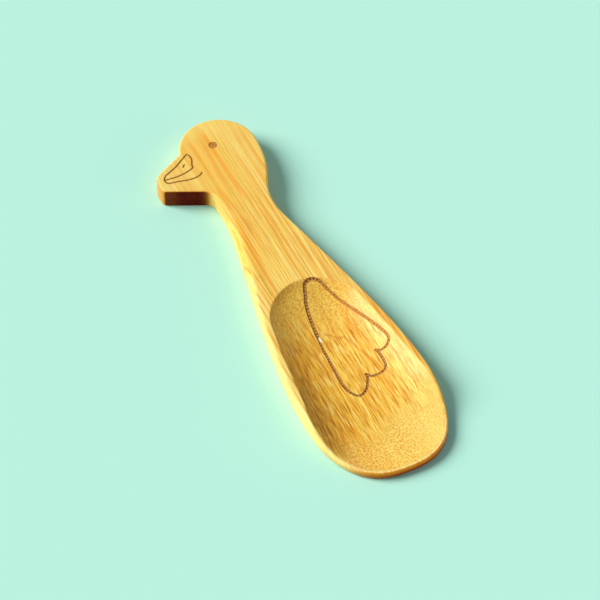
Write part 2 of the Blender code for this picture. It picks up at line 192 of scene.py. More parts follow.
@dataclass(frozen=True)
class BoardShape:
    """Sizes of the sawn and scooped board, and the curves and heights that follow.

    The beak's top and bottom and the chin are corners, each with its Y and its radius. A
    wave has a size, a rate for each millimetre and a shift.
    """

    thickness: float = 5.4 * MM
    strip_width: float = 4.4 * MM
    strip_count: int = 8
    axis_x: float = 0.3 * MM
    tip_y: float = -59.5 * MM
    widest_y: float = -36.7 * MM
    half_width: float = 16.6 * MM
    tip_fullness: float = 2.5
    bowl_sweep: float = 22.7 * MM
    neck_y: float = 29.9 * MM
    neck_half_width: float = 5.96 * MM
    neck_sweep: float = 9.3 * MM
    head_x: float = 2.05 * MM
    head_y: float = 49.5 * MM
    head_radius: float = 10.0 * MM
    nape_start_y: float = 22.0 * MM
    nape_sweeps: Pair = (13.2 * MM, 15.4 * MM)
    brow_angle: float = math.radians(166.0)
    brow_ends: float = math.radians(158.4)
    brow_radius: float = 2.2 * MM
    beak_front_x: float = -16.9 * MM
    beak_top: Pair = (47.1 * MM, 3.4 * MM)
    beak_bottom: Pair = (42.1 * MM, 1.2 * MM)
    chin: Pair = (36.7 * MM, 3.3 * MM)
    flank_points: int = 401
    crown_points: int = 301
    outline_points: int = 6000
    edge_radii: tuple[float, float, float] = (0.55 * MM, 0.7 * MM, 0.55 * MM)
    head_edge_y: Span = (24.0 * MM, 38.0 * MM)
    lip_edge_y: Span = (-44.0 * MM, -55.0 * MM)
    thin_edge: float = 0.5
    thin_edge_x: Span = (4.0 * MM, 9.0 * MM)
    thin_edge_y: Plateau = (-54.0 * MM, -44.0 * MM, 14.0 * MM, 32.0 * MM)
    throat_edge: float = 2.1 * MM
    throat_edge_y: Plateau = (-4.0 * MM, 12.0 * MM, 24.0 * MM, 37.0 * MM)
    underside_radii: Pair = (0.8 * MM, 0.4 * MM)
    underside_y: Span = (-54.0 * MM, -36.0 * MM)
    dish_start_y: float = 1.1 * MM
    dish_shoulder: float = 9.5 * MM
    dish_run_in: float = 22.0 * MM
    run_in_power: float = 2.6
    floor_thickness: float = 1.25 * MM
    wall_power: float = 2.8
    most_across: float = 3.0
    beyond_slope: float = 0.8 * MM
    tip_ramp: float = 14.5 * MM
    tip_ramp_power: float = 2.3
    rim_widths: Pair = (1.65 * MM, 0.5 * MM)
    rim_narrows_y: Span = (-26.7 * MM, -42.7 * MM)
    lip_height: float = 2.3 * MM
    rim_drops_y: Span = (-35.7 * MM, -51.5 * MM)
    least_half_width: float = 0.002 * MM
    crease: float = 0.14 * MM
    crease_mark: float = 0.22 * MM
    hand_cut: float = 0.06 * MM
    hand_cut_y: Plateau = (-10.0 * MM, -18.0 * MM, -46.0 * MM, -52.0 * MM)
    hand_cut_waves: tuple[Wave, ...] = ((1.0, 0.62, 0.0), (0.7, 1.37, 1.0))
    sanding: float = 0.25 * MM

    def tip_curve(self) -> Array:
        """Return half widths and Y of the tip, a quarter of a superellipse."""
        along, aside = np.abs(circle(QUARTER * SHARES)).T ** (2.0 / self.tip_fullness)
        return np.column_stack([self.half_width * aside, mix(self.widest_y, self.tip_y, along)])

    def flank_curve(self, shares: Array) -> Array:
        """Return the cubic curve from the widest place to the neck.

        Args:
            shares: How far along the curve its points are, from 0 to 1.

        Returns:
            Half widths and Y of the points.
        """
        wide, narrow = self.half_width, self.neck_half_width
        low, high = self.widest_y + self.bowl_sweep, self.neck_y - self.neck_sweep
        points = ((wide, self.widest_y), (wide, low), (narrow, high), (narrow, self.neck_y))
        return bezier(points, shares)

    def bowl_side(self) -> Array:
        """Return half widths and Y of the tip and the flank."""
        return np.vstack([self.tip_curve(), self.flank_curve(SHARES)[1:]])

    def crown(self, angles: Array) -> Array:
        """Return points of the head's circle at angles from +X."""
        return np.array([self.head_x, self.head_y]) + self.head_radius * circle(angles)

    def right_side(self) -> Array:
        """Return the duck's back, from the tip to the top of the head.

        Returns:
            Points of the tip, the flank, a cubic nape and the crown's right quarter.
        """
        share = float(np.interp(self.nape_start_y, self.flank_curve(SHARES)[:, 1], SHARES))
        shares = np.linspace(0.0, share, self.flank_points)
        flank = self.flank_curve(shares) + (self.axis_x, 0.0)
        leaving = unit(flank[-1] - flank[-2]) * self.nape_sweeps[0]
        end = self.crown(np.zeros(1))[0]
        arriving = end - (0.0, self.nape_sweeps[1])
        nape = bezier((flank[-1], flank[-1] + leaving, arriving, end), SHARES)
        crown = self.crown(np.linspace(0.0, QUARTER, self.crown_points))
        return np.vstack([self.tip_curve() + (self.axis_x, 0.0), flank[1:], nape[1:], crown[1:]])

    def left_side(self) -> Array:
        """Return the duck's front, from the tip to the top of the head.

        Returns:
            Points of the tip, the flank, chin, beak and brow, and the crown's left part.
        """
        neck_x = self.axis_x - self.neck_half_width
        brow, after_brow = self.crown(np.array([self.brow_angle, self.brow_ends]))
        places = (
            (neck_x, self.neck_y),
            (neck_x, self.chin[0]),
            (self.beak_front_x, self.beak_bottom[0]),
            (self.beak_front_x, self.beak_top[0]),
            brow,
            after_brow,
        )
        radii = (self.chin[1], self.beak_bottom[1], self.beak_top[1], self.brow_radius)
        corners = [rounded_corner(*places[k:k + 3], radius) for k, radius in enumerate(radii)]
        crown = self.crown(np.linspace(self.brow_ends, QUARTER, self.flank_points))
        lower = self.bowl_side() * (-1.0, 1.0) + (self.axis_x, 0.0)
        return np.vstack([lower] + corners + [crown[crown[:, 1] > corners[-1][-1][1]]])

    def outline(self) -> Array:
        """Return the sawn outline, whose small corners are rounded by hand sanding.

        The line's Fourier terms are weighted by a bell curve of the sanding's width.

        Returns:
            Points at even distances on a closed line, anticlockwise from the tip.
        """
        loop = np.vstack([self.right_side(), self.left_side()[::-1]])
        reached = travelled(loop)
        even = np.linspace(0.0, reached[-1], self.outline_points + 1)[:-1]
        flat = np.interp(even, reached, loop[:, 0]) + 1j * np.interp(even, reached, loop[:, 1])
        waves = 2.0 * math.pi * np.fft.fftfreq(len(flat), d=reached[-1] / len(flat))
        sanded = np.fft.ifft(np.fft.fft(flat) * np.exp(-0.5 * (waves * self.sanding) ** 2))
        return np.column_stack([sanded.real, sanded.imag])

    def edge_radius(self, x: Array, y: Array) -> Array:
        """Return the top edge's radius, large on the throat and small on the bowl's +X side.

        Args:
            x: X of the points.
            y: Y of the points.

        Returns:
            The radius at each point.
        """
        lip, board, head = self.edge_radii
        radius = board + (head - board) * smooth_step(y, *self.head_edge_y)
        radius = radius + (lip - board) * smooth_step(y, *self.lip_edge_y)
        thin = smooth_step(x, *self.thin_edge_x) * plateau(y, *self.thin_edge_y)
        radius = radius * (1.0 - self.thin_edge * thin)
        return mix(radius, self.throat_edge, plateau(y, *self.throat_edge_y) * (x < self.axis_x))

    def underside_radius(self, y: Array) -> Array:
        """Return the bottom edge's radius, which is larger under the lip."""
        return mix(*self.underside_radii, smooth_step(y, *self.underside_y))

    def rim_width(self, y: Array) -> Array:
        """Return the width of the rim beside the dish, which narrows to the lip."""
        return mix(*self.rim_widths, smooth_step(y, *self.rim_narrows_y))

    def rim_height(self, y: Array) -> Array:
        """Return the height of the board's top, which steps down to the lip at the tip."""
        return mix(self.thickness, self.lip_height, smooth_step(y, *self.rim_drops_y))

    def dish_half_width(self, y: Array) -> Array:
        """Return half the dish's width: the outline less the rim, times a round shoulder.

        Args:
            y: Y of the points.

        Returns:
            Half the width at each point, 0 beyond the dish's ends.
        """
        side = self.bowl_side()
        along = unit(np.gradient(side, axis=0))
        inward = np.column_stack([-along[:, 1], along[:, 0]])
        edge = side + inward * self.rim_width(side[:, 1])[:, None]
        edge[:, 1] = np.maximum.accumulate(edge[:, 1])
        into = np.clip((self.dish_start_y - y) / self.dish_shoulder, 0.0, 1.0)
        shoulder = np.sqrt(1.0 - (1.0 - into) ** 2)
        return np.maximum(np.interp(y, edge[:, 1], edge[:, 0]), 0.0) * shoulder * (y > edge[0, 1])

    def dish_floor(self, y: Array) -> Array:
        """Return the dish's height on its middle line: run-in, flat floor and tip ramp.

        Args:
            y: Y of the points.

        Returns:
            The height at each point.
        """
        into = np.clip((self.dish_start_y - y) / self.dish_run_in, 0.0, 1.0)
        depth = (self.thickness - self.floor_thickness) * (1.0 - (1.0 - into) ** self.run_in_power)
        ramp = self.tip_ramp - self.rim_widths[1]
        up = np.clip((self.tip_y + self.tip_ramp - y) / ramp, 0.0, 1.0) ** self.tip_ramp_power
        return self.thickness - depth + (self.lip_height - self.floor_thickness) * up

    def dish_height(self, x: Array, y: Array) -> Array:
        """Return the dish's height, carried on past its edge.

        Across the bowl it climbs from its floor to the rim with a power of the distance
        from the middle line, as a share of the half width. The edge on the -X side is cut
        by hand and waves a little, as the sum of two sines.

        Args:
            x: X of the points.
            y: Y of the points.

        Returns:
            The height at each point.
        """
        half_width = np.maximum(self.dish_half_width(y), self.least_half_width)
        wave = sum(size * np.sin(rate * y * PER_MM + shift) for size, rate, shift in self.hand_cut_waves)
        waving = plateau(y, *self.hand_cut_y) * (x < self.axis_x)
        half_width = half_width + self.hand_cut * wave * waving
        across = np.minimum(np.abs(x - self.axis_x) / half_width, self.most_across)
        height = mix(self.dish_floor(y), self.rim_height(y), across**self.wall_power)
        return height + np.maximum(across - 1.0, 0.0) * self.beyond_slope


class Pressure(Enum):
    """How wide and how deep a mark is burnt."""

    FINE = (0.32 * MM, 0.10 * MM)
    BROAD = (0.66 * MM, 0.16 * MM)
    DISC = (2.30 * MM, 0.12 * MM)

    def __init__(self, width: float, depth: float) -> None:
        """Keep the mark's width and depth."""
        self.width, self.depth = width, depth


@dataclass(frozen=True)
class BurntLine:
    """A mark burnt into the board along smooth curves through points in millimetres."""

    stretches: tuple[tuple[Point, ...], ...]
    spacing: float = 0.15 * MM
    reach: float = 1.2 * MM
    least_square: float = 1e-14

    def nearest(self, x: Array, y: Array) -> tuple[Array, Array]:
        """Return each point's distance from the line, and how far along the line that is.

        Only the points near the line are measured, each against every piece of it. The
        distance is that to the foot of the perpendicular, kept within the piece.

        Args:
            x: X of the points, as a flat array.
            y: Y of the points, as a flat array.

        Returns:
            Distances and lengths along the line. Points beyond its reach get 10 mm.
        """
        curves = [curve_through(np.array(points) * MM, self.spacing) for points in self.stretches]
        starts = np.vstack([curve[:-1] for curve in curves])
        steps = np.vstack([np.diff(curve, axis=0) for curve in curves])
        low, high = starts.min(axis=0) - self.reach, starts.max(axis=0) + self.reach
        near = np.flatnonzero((x > low[0]) & (x < high[0]) & (y > low[1]) & (y < high[1]))
        squares = np.maximum((steps**2).sum(axis=1), self.least_square)
        lengths = np.linalg.norm(steps, axis=1)
        before = np.concatenate([[0.0], np.cumsum(lengths)[:-1]])
        distance, along = np.full(x.shape, FAR * MM), np.zeros(x.shape)
        for part in np.array_split(near, max(len(near) // BATCH, 1)):
            away = np.column_stack([x[part], y[part]])[:, None, :] - starts
            share = np.clip((away * steps).sum(axis=2) / squares, 0.0, 1.0)
            gap = ((away - share[..., None] * steps) ** 2).sum(axis=2)
            rows, best = np.arange(len(part)), gap.argmin(axis=1)
            distance[part] = np.sqrt(gap[rows, best])
            along[part] = before[best] + share[rows, best] * lengths[best]
        return distance, along


@dataclass(frozen=True)
class DuckMarks:
    """The eye, the beak's lines and the scalloped wing, with their places in millimetres.

    A line's slope is in half widths of the line, and "broader" is the share by which the
    wing's line grows at its upper left.
    """

    eye: Point = (1.15, 50.95)
    eye_slope: Span = (-0.05, 0.2)
    line_slope: Span = (1.1, 0.2)
    # a small pale spot by the wing's line, a painted glint
    chip: Point = (-1.35, -15.3)
    chip_radii: Pair = (0.27, 0.95)
    broad_x: Span = (5.5, 2.5)
    broad_y: Span = (-17.0, -12.0)
    broader: float = 1.0 / 3.0
    faint_x: Span = (4.0, 8.5)
    faint_y: Span = (-27.5, -21.0)
    faintness: Pair = (0.15, 0.60)
    nostril: BurntLine = BurntLine((((-8.2, 48.0), (-8.8, 47.4)),))
    beak: BurntLine = BurntLine(
        (
            ((-6.2, 51.0), (-8.4, 49.6), (-10.4, 48.3), (-12.5, 47.3), (-14.0, 46.6), (-14.9, 45.5)),
            ((-14.9, 45.4), (-13.4, 45.2), (-11.3, 45.1), (-8.9, 45.4), (-6.8, 46.1), (-6.5, 47.1)),
            ((-6.5, 47.1), (-5.8, 48.7), (-5.7, 49.8), (-5.9, 50.6)),
            ((-14.9, 45.4), (-14.8, 44.5), (-14.1, 43.9), (-12.0, 43.5), (-10.1, 43.0)),
            ((-10.1, 43.0), (-8.5, 42.8), (-7.1, 42.8), (-5.9, 43.2), (-5.3, 43.7)),
        )
    )
    wing: BurntLine = BurntLine(
        (
            (
                (8.97, -24.54), (9.9, -25.3), (11.0, -25.35), (12.0, -24.9), (12.6, -24.2),
                (12.8, -23.1), (12.6, -21.6), (11.6, -17.7), (10.0, -12.9), (8.1, -8.1),
                (6.7, -4.3), (5.7, -1.6), (4.7, -0.2), (3.5, 0.3), (2.1, 0.0), (1.35, -1.1),
                (0.8, -2.7), (-0.1, -4.9), (-0.9, -8.8), (-1.5, -13.6), (-2.0, -18.0),
                (-2.3, -22.7), (-2.65, -27.5), (-2.75, -29.6), (-2.5, -31.5), (-2.0, -33.0),
                (-1.2, -34.2), (-0.4, -34.7), (0.8, -34.4), (2.1, -33.3), (3.1, -31.8),
                (3.7, -30.5), (3.78, -29.46),
            ),
            (
                (3.78, -29.46), (4.6, -30.5), (5.7, -30.95), (7.1, -30.95), (8.3, -30.6),
                (9.0, -29.7), (9.2, -28.5), (9.25, -27.1), (9.2, -25.8), (8.97, -24.54),
            ),
        )
    )

    def fields(self, x: Array, y: Array) -> dict[str, Array]:
        """Return the marks as numbers at points, for the grooves and for the colours.

        The wing's line is broader at its upper left, and fainter on its +X side.

        Args:
            x: X of the points, as a flat array.
            y: Y of the points, as a flat array.

        Returns:
            "fine_line" is millimetres from the middle of a line, and "eye_inside" those in
            from the eye's edge. "wing_line" is 1 on the edge of the wing's line,
            "wing_along" is millimetres along it, and "wing_faint" is 0 where it is dark.
            "chip" is 1 on the edge of a small pale spot, a painted glint.
        """
        fine = np.minimum(self.beak.nearest(x, y)[0], self.nostril.nearest(x, y)[0])
        wing, along = self.wing.nearest(x, y)
        x, y = x * PER_MM, y * PER_MM
        broad = smooth_step(y, *self.broad_y) * smooth_step(x, *self.broad_x)
        half_width = 0.5 * Pressure.BROAD.width * (1.0 + broad * self.broader)
        eye = 0.5 * Pressure.DISC.width * PER_MM - np.hypot(x - self.eye[0], y - self.eye[1])
        chip = np.hypot((x - self.chip[0]) / self.chip_radii[0], (y - self.chip[1]) / self.chip_radii[1])
        faint = smooth_step(x, *self.faint_x) * mix(*self.faintness, smooth_step(y, *self.faint_y))
        return {
            "fine_line": fine * PER_MM,
            "wing_line": np.minimum(wing / half_width, FAR),
            "wing_along": along * PER_MM,
            "eye_inside": np.maximum(eye, -FAR),
            "wing_faint": faint,
            "chip": np.minimum(chip, FAR),
        }

    def groove(self, fields: dict[str, Array]) -> Array:
        """Return how deep the marks cut into the board.

        A line's groove is a smooth hollow from its edge to its middle, and the eye's is
        a flat recess with a short slope at its edge.

        Args:
            fields: The marks as numbers at points.

        Returns:
            The depth at each point, in metres.
        """
        fine, broad, disc = Pressure
        away = fields["fine_line"] / (0.5 * fine.width * PER_MM)
        depths = (
            fine.depth * smooth_step(away, *self.line_slope),
            broad.depth * smooth_step(fields["wing_line"], *self.line_slope),
            disc.depth * smooth_step(fields["eye_inside"], *self.eye_slope),
        )
        return np.max(depths, axis=0)


@dataclass(frozen=True)
class BoardTones:
    """Where the board's tones and open fibres begin and end.

    Places and depths are in millimetres. A name that ends in _across means shares of the
    dish's half width, and one that ends in _share or _shares is a strength from 0 to 1.
    """

    edge_depth: Span = (0.0, 0.16)
    least_half_width: float = 0.5
    cut_wave: float = 1.5
    cut_wave_rate: float = 0.45
    cut_slant: float = 0.25
    shoulder_y: Span = (-15.0, -6.0)
    ramp_y: Span = (41.0, 50.0)
    wall_across: Span = (0.78, 0.98)
    wall_share: float = 0.45
    # painted shade with brown patches close to the dish's -X rim, and, from entry on, painted shade just
    # inside the dish's upper edge
    tarnish_across: Span = (0.62, 0.92)
    tarnish_y: Plateau = (-56.0, -46.0, -34.0, -12.0)
    tarnish_shares: Pair = (0.08, 1.0)
    entry_depth: Span = (1.6, 0.3)
    entry_x: Span = (4.0, -1.0)
    entry_y: Span = (-14.0, -5.0)
    entry_share: float = 0.42
    # painted shade: a deeper tone on the dish's wall on the -X side, where the rim's shadow falls
    patina_across: Span = (0.12, 0.62)
    patina_y: Span = (-6.0, -22.0)
    # painted light: the paler +X part of the tip and, from sunny on, of the dish's +X wall, which face the
    # key lamp
    bleached_x: Span = (2.0, 9.0)
    bleached_y: Span = (-36.0, -46.0)
    sunny_x: Span = (6.0, 11.0)
    sunny_y: Span = (-8.0, -18.0)
    sunny_share: float = 0.9
    # painted shade on the rim on the +X side, which faces away from the key lamp
    dulled_x: Span = (5.0, 10.0)
    dulled_y: Span = (-4.0, -18.0)
    # the throat is made darker
    throat_x: Span = (-1.0, -5.0)
    throat_y: Plateau = (2.0, 16.0, 33.0, 41.0)

    def fields(self, shape: BoardShape, x: Array, y: Array) -> dict[str, Array]:
        """Return where the dish is, where the scoop cut fibres across, and the board's tones.

        The fibres are open on the shoulder, on the tip's ramp and, less so, high on the
        walls beside the dish.

        Args:
            shape: The board's sizes.
            x: X of the points, as a flat array.
            y: Y of the points, as a flat array.

        Returns:
            Shares from 0 to 1. "patina" is painted shade on the dish's wall
            on the -X side, "tarnish" is painted shade with brown patches
            close to that rim and painted shade just inside the upper edge, "bleached"
            is painted light on the paler part of the tip and of the +X wall, and
            "dulled" is painted shade on the rim on the +X side and the
            darker throat.
        """
        depth = (shape.rim_height(y) - shape.dish_height(x, y)) * PER_MM
        half_width = np.maximum(shape.dish_half_width(y) * PER_MM, self.least_half_width)
        left, aside = x < shape.axis_x, (x - shape.axis_x) * PER_MM
        x, y, across = x * PER_MM, y * PER_MM, np.abs(aside) / half_width
        dish = smooth_step(depth, *self.edge_depth)
        wave = self.cut_wave * np.sin(x * self.cut_wave_rate) + self.cut_slant * aside
        ends = np.maximum(smooth_step(y + wave, *self.shoulder_y), smooth_step(wave - y, *self.ramp_y))
        wall = self.wall_share * smooth_step(across, *self.wall_across)
        # painted shade near the -X rim and just inside the upper edge
        tarnish = smooth_step(across, *self.tarnish_across) * left
        tarnish = tarnish * mix(*self.tarnish_shares, plateau(y, *self.tarnish_y))
        entry = smooth_step(depth, *self.entry_depth) * smooth_step(y, *self.entry_y)
        entry = self.entry_share * entry * smooth_step(x, *self.entry_x)
        patina = smooth_step(across, *self.patina_across) * left * smooth_step(y, *self.patina_y)
        # painted light where the surface faces the key lamp
        bleached = smooth_step(x, *self.bleached_x) * smooth_step(y, *self.bleached_y)
        sunny = self.sunny_share * smooth_step(x, *self.sunny_x) * smooth_step(y, *self.sunny_y)
        dulled = smooth_step(x, *self.dulled_x) * smooth_step(y, *self.dulled_y)
        throat = smooth_step(x, *self.throat_x) * plateau(y, *self.throat_y)
        return {
            "dish": dish,
            "open_grain": dish * np.maximum(ends, wall),
            "tarnish": dish * np.maximum(tarnish, entry),
            "patina": dish * patina,
            "bleached": dish * np.maximum(bleached, sunny),
            "dulled": (1.0 - dish) * np.maximum(dulled, throat),
        }


@dataclass
class SpoonSurface:
    """The whole spoon's closed surface as points, faces and numbers for the finish.

    The upper surface is a grid of two parameters, from side to side and from the tip to
    the crown. A profile carried along the outline rounds its edge, falls down the wall
    and rounds into the flat underside.
    """

    shape: BoardShape = field(default_factory=BoardShape)
    marks: DuckMarks = field(default_factory=DuckMarks)
    tones: BoardTones = field(default_factory=BoardTones)
    columns: int = 220
    row_spacing: float = 0.14 * MM
    end_half_width: float = 8.0 * MM
    crown_share: float = 0.766
    end_reach: float = 8.0 * MM
    edge_steps: int = 8
    wall_steps: int = 6
    under_steps: int = 4
    points: Array = field(init=False)
    quads: Array = field(init=False)
    end_faces: list[list[int]] = field(init=False)
    fields: dict[str, Array] = field(init=False)

    def __post_init__(self) -> None:
        """Work out the points, the faces and the finish's numbers, once."""
        x, y = self.grid()
        rows, columns = x.shape
        first = rows * columns
        index = np.arange(first).reshape(rows, columns)
        fields = self.marks.fields(x.ravel(), y.ravel())
        z, crease = self.rounded_top(x, y, np.zeros_like(x))
        z = z - self.marks.groove(fields).reshape(z.shape)
        loop = np.concatenate([index[0], index[1:, -1], index[-1, -2::-1], index[-2:0:-1, 0]])
        sheet = np.column_stack([x.ravel(), y.ravel(), z.ravel()])
        rings, ring_crease = self.edge_rings(sheet[loop, :2])
        chain = np.vstack([loop, first + np.arange(rings.shape[0] * len(loop)).reshape(-1, len(loop))])
        beyond = np.roll(chain, -1, axis=1)
        band = np.stack([chain[1:], beyond[1:], beyond[:-1], chain[:-1]], axis=-1)
        top = np.stack([index[:-1, :-1], index[:-1, 1:], index[1:, 1:], index[1:, :-1]], axis=-1)
        last = chain[-1]
        right = last[columns - 1:columns + rows - 1]
        left = np.concatenate([last[2 * columns + rows - 3:], last[:1]])[::-1]
        under = np.stack([left[:-1], left[1:], right[1:], right[:-1]], axis=-1)
        ends = last[:columns], last[columns + rows - 2:2 * columns + rows - 2]
        self.points = np.vstack([sheet, rings.reshape(-1, 3)])
        self.quads = np.vstack([faces.reshape(-1, 4) for faces in (top, band, under)])
        self.end_faces = [end[::-1].tolist() for end in ends]
        far = {"wing_along": 0.0, "wing_faint": 0.0, "eye_inside": -FAR}
        upper = first + self.edge_steps * len(loop)
        tones = self.tones.fields(self.shape, self.points[:upper, 0], self.points[:upper, 1])
        crease = np.concatenate([crease.ravel(), ring_crease.ravel()])
        self.fields = {}
        for some, usual in ((fields, FAR), (tones, 0.0), ({"crease": crease}, 0.0)):
            for name, values in some.items():
                rest = np.full(len(self.points) - len(values), far.get(name, usual))
                self.fields[name] = np.append(values, rest)

    def inner_sides(self) -> tuple[Array, Array]:
        """Return the inner edges of the rounding.

        Returns:
            The left and the right edge, each from the tip to the crown.
        """
        outline = self.shape.outline()
        radius = self.shape.edge_radius(outline[:, 0], outline[:, 1])[:, None]
        inner = outline - outward_normals(outline) * radius
        bottom, top = int(inner[:, 1].argmin()), int(inner[:, 1].argmax())
        turned = np.roll(inner, -bottom, axis=0)
        split = (top - bottom) % len(inner)
        right = turned[:split + 1].copy()
        left = np.vstack([turned[split:], turned[:1]])[::-1].copy()
        for side in (right, left):
            side[:, 1] = np.maximum.accumulate(side[:, 1])
        return left, right

    def rows(self, left: Array, right: Array, low: float, high: float) -> Array:
        """Return the Y values of the grid's rows.

        They are spaced so that neither side moves more than the row spacing from one to
        the next: the steps of the longer side are added up and shared out evenly.

        Args:
            left: Points of the left side.
            right: Points of the right side.
            low: Y of the first row.
            high: Y of the last row.

        Returns:
            Y values from low to high.
        """
        y = np.unique(np.concatenate([left[:, 1], right[:, 1], [low, high]]))
        y = y[(y >= low) & (y <= high)]
        sides = [np.interp(y, side[:, 1], side[:, 0]) for side in (left, right)]
        steps = [np.hypot(np.diff(x), np.diff(y)) for x in sides]
        reached = np.concatenate([[0.0], np.cumsum(np.maximum(*steps))])
        count = int(math.ceil(reached[-1] / self.row_spacing))
        return np.interp(np.linspace(0.0, reached[-1], count + 1), reached, y)

    def grid(self) -> tuple[Array, Array]:
        """Return the upper surface's grid, one row after another.

        X is shared out evenly between the two sides. Near the tip and the crown, Y bends
        to follow the rounded end, and this bend fades away over the end's reach.

        Returns:
            X and Y of the grid's points.
        """
        left, right = self.inner_sides()
        below = right[:, 1] < self.shape.widest_y
        low = float(np.interp(self.shape.axis_x + self.end_half_width, *right[below].T))
        inner_radius = self.shape.head_radius - self.shape.edge_radii[2]
        high = self.shape.head_y + inner_radius * self.crown_share
        y = self.rows(left, right, low, high)
        left_x, right_x = (np.interp(y, side[:, 1], side[:, 0])[:, None] for side in (left, right))
        x = mix(left_x, right_x, np.linspace(0.0, 1.0, self.columns + 1))
        tip = np.vstack([left[left[:, 1] <= low][::-1], right[right[:, 1] <= low]])
        crown = np.vstack([left[left[:, 1] >= high], right[right[:, 1] >= high][::-1]])
        drop, rise = np.interp(x[0], *tip.T) - low, np.interp(x[-1], *crown.T) - high
        drop[[0, -1]] = rise[[0, -1]] = 0.0
        near_tip = 1.0 - smooth_step(y, low, low + self.end_reach)
        near_crown = smooth_step(y, high - self.end_reach, high)
        return x, y[:, None] + near_tip[:, None] * drop + near_crown[:, None] * rise

    def rounded_top(self, x: Array, y: Array, fall: Array) -> tuple[Array, Array]:
        """Return the upper surface's heights and how close each point is to the crease.

        Args:
            x: X of the points.
            y: Y of the points.
            fall: How far the rounded edge lies below the rim at each point.

        Returns:
            Heights, and 1 on the crease between the rim and the dish, falling to 0.
        """
        rim, dish = self.shape.rim_height(y) - fall, self.shape.dish_height(x, y)
        crease = np.clip(1.0 - np.abs(rim - dish) / self.shape.crease_mark, 0.0, 1.0)
        return soft_lower(rim, dish, self.shape.crease), crease

    def edge_rings(self, loop: Array) -> tuple[Array, Array]:
        """Return the rings of points from the rounding's inner edge to the underside.

        The profile is a quarter circle outwards and down, a straight wall and a smaller
        quarter circle back in, and it stands square to the loop.

        Args:
            loop: X and Y of the rounding's inner edge, anticlockwise.

        Returns:
            Points as an array of rings, and each point's closeness to the crease.
        """
        counts = (self.edge_steps, self.wall_steps, self.under_steps)
        over, down, back = (np.arange(1, count + 1)[:, None] / count for count in counts)
        normals = outward_normals(loop)
        radius = self.shape.edge_radius(loop[:, 0], loop[:, 1])
        under = self.shape.underside_radius(loop[:, 1])
        place = loop + (radius * np.sin(QUARTER * over))[..., None] * normals
        fall = radius * (1.0 - np.cos(QUARTER * over))
        z, crease = self.rounded_top(place[..., 0], place[..., 1], fall)
        wall = np.dstack([np.repeat(place[-1][None], self.wall_steps, axis=0), mix(z[-1], under, down)])
        inside = loop + (radius - under * (1.0 - np.cos(QUARTER * back)))[..., None] * normals
        lower = np.dstack([inside, under * (1.0 - np.sin(QUARTER * back))])
        rest = np.zeros((self.wall_steps + self.under_steps, len(loop)))
        return np.vstack([np.dstack([place, z]), wall, lower]), np.vstack([crease, rest])


@dataclass(frozen=True)
class Strip:
    """One solid of a bamboo strip: its number in the board and the stretch that it fills."""

    number: int
    label: str
    low_y: float = -math.inf
    high_y: float = math.inf
    weld: float = 2e-7

    def mesh(self, surface: SpoonSurface) -> bpy.types.Mesh:
        """Return the strip's closed mesh, cut out of the spoon's surface.

        The faces that reach into the strip are kept, and the planes of its glue joints
        cut them. The flat sides are then filled and keep a sharp edge.

        Args:
            surface: The whole spoon's surface.

        Returns:
            A new mesh that carries the surface's numbers on its points.
        """
        shape = surface.shape
        low = (self.number - 1 - shape.strip_count / 2) * shape.strip_width
        high = low + shape.strip_width
        corners = surface.points[surface.quads]
        lowest, highest = corners.min(axis=1), corners.max(axis=1)
        inside = (highest[:, 0] >= low) & (lowest[:, 0] <= high)
        inside &= (highest[:, 1] >= self.low_y) & (lowest[:, 1] <= self.high_y)
        ends = [face for face in surface.end_faces if self.low_y < surface.points[face[0], 1] < self.high_y]
        quads = surface.quads[inside]
        used = np.unique(np.concatenate([quads.ravel()] + [np.array(face) for face in ends]))
        renumber = np.full(len(surface.points), -1)
        renumber[used] = np.arange(len(used))
        faces = renumber[quads].tolist() + [renumber[face].tolist() for face in ends]
        mesh = bpy.data.meshes.new(f"bamboo_{self.number}_{self.label}")
        mesh.from_pydata(surface.points[used].tolist(), [], faces, shade_flat=False)
        for name, values in surface.fields.items():
            layer = mesh.attributes.new(name, "FLOAT", "POINT")
            layer.data.foreach_set("value", values[used].astype(np.float32))
        joints = [(low, -1.0)] * (self.number > 1) + [(high, 1.0)] * (self.number < shape.strip_count)
        self.cut(mesh, joints)
        return mesh

    def cut(self, mesh: bpy.types.Mesh, joints: list[Pair]) -> None:
        """Cut a mesh at the strip's glue joints and close its flat sides.

        Args:
            mesh: Mesh to change.
            joints: X of each joint, and the direction along X in which the rest goes.
        """
        work = bmesh.new()
        work.from_mesh(mesh)
        for x, towards in joints:
            everything = work.verts[:] + work.edges[:] + work.faces[:]
            bmesh.ops.bisect_plane(
                work, geom=everything, dist=self.weld, plane_co=(x, 0.0, 0.0),
                plane_no=(towards, 0.0, 0.0), clear_outer=True,
            )
        stray = [vert for vert in work.verts if not self.low_y < vert.co.y < self.high_y]
        bmesh.ops.delete(work, geom=stray, context="VERTS")
        loose = [vert for vert in work.verts if not vert.link_faces]
        bmesh.ops.delete(work, geom=loose, context="VERTS")
        rim = [edge for edge in work.edges if edge.is_boundary]
        bmesh.ops.holes_fill(work, edges=rim, sides=0)
        for edge in rim:
            edge.smooth = False
        bmesh.ops.triangulate(work, faces=[face for face in work.faces if len(face.verts) > 4])
        bmesh.ops.recalc_face_normals(work, faces=work.faces)
        work.to_mesh(mesh)
        work.free()


def operation(name: str, swapped: bool = False) -> Callable[["Signal", object], "Signal"]:
    """Return a method of signals that places a Math node.

    Args:
        name: The node's operation.
        swapped: Whether the other value comes first.

    Returns:
        A method that takes the other value and returns the node's result.
    """

    def method(self: "Signal", other: object) -> "Signal":
        """Return the result of the operation with another value."""
        return self.wiring.math(name, *((other, self) if swapped else (self, other)))

    return method


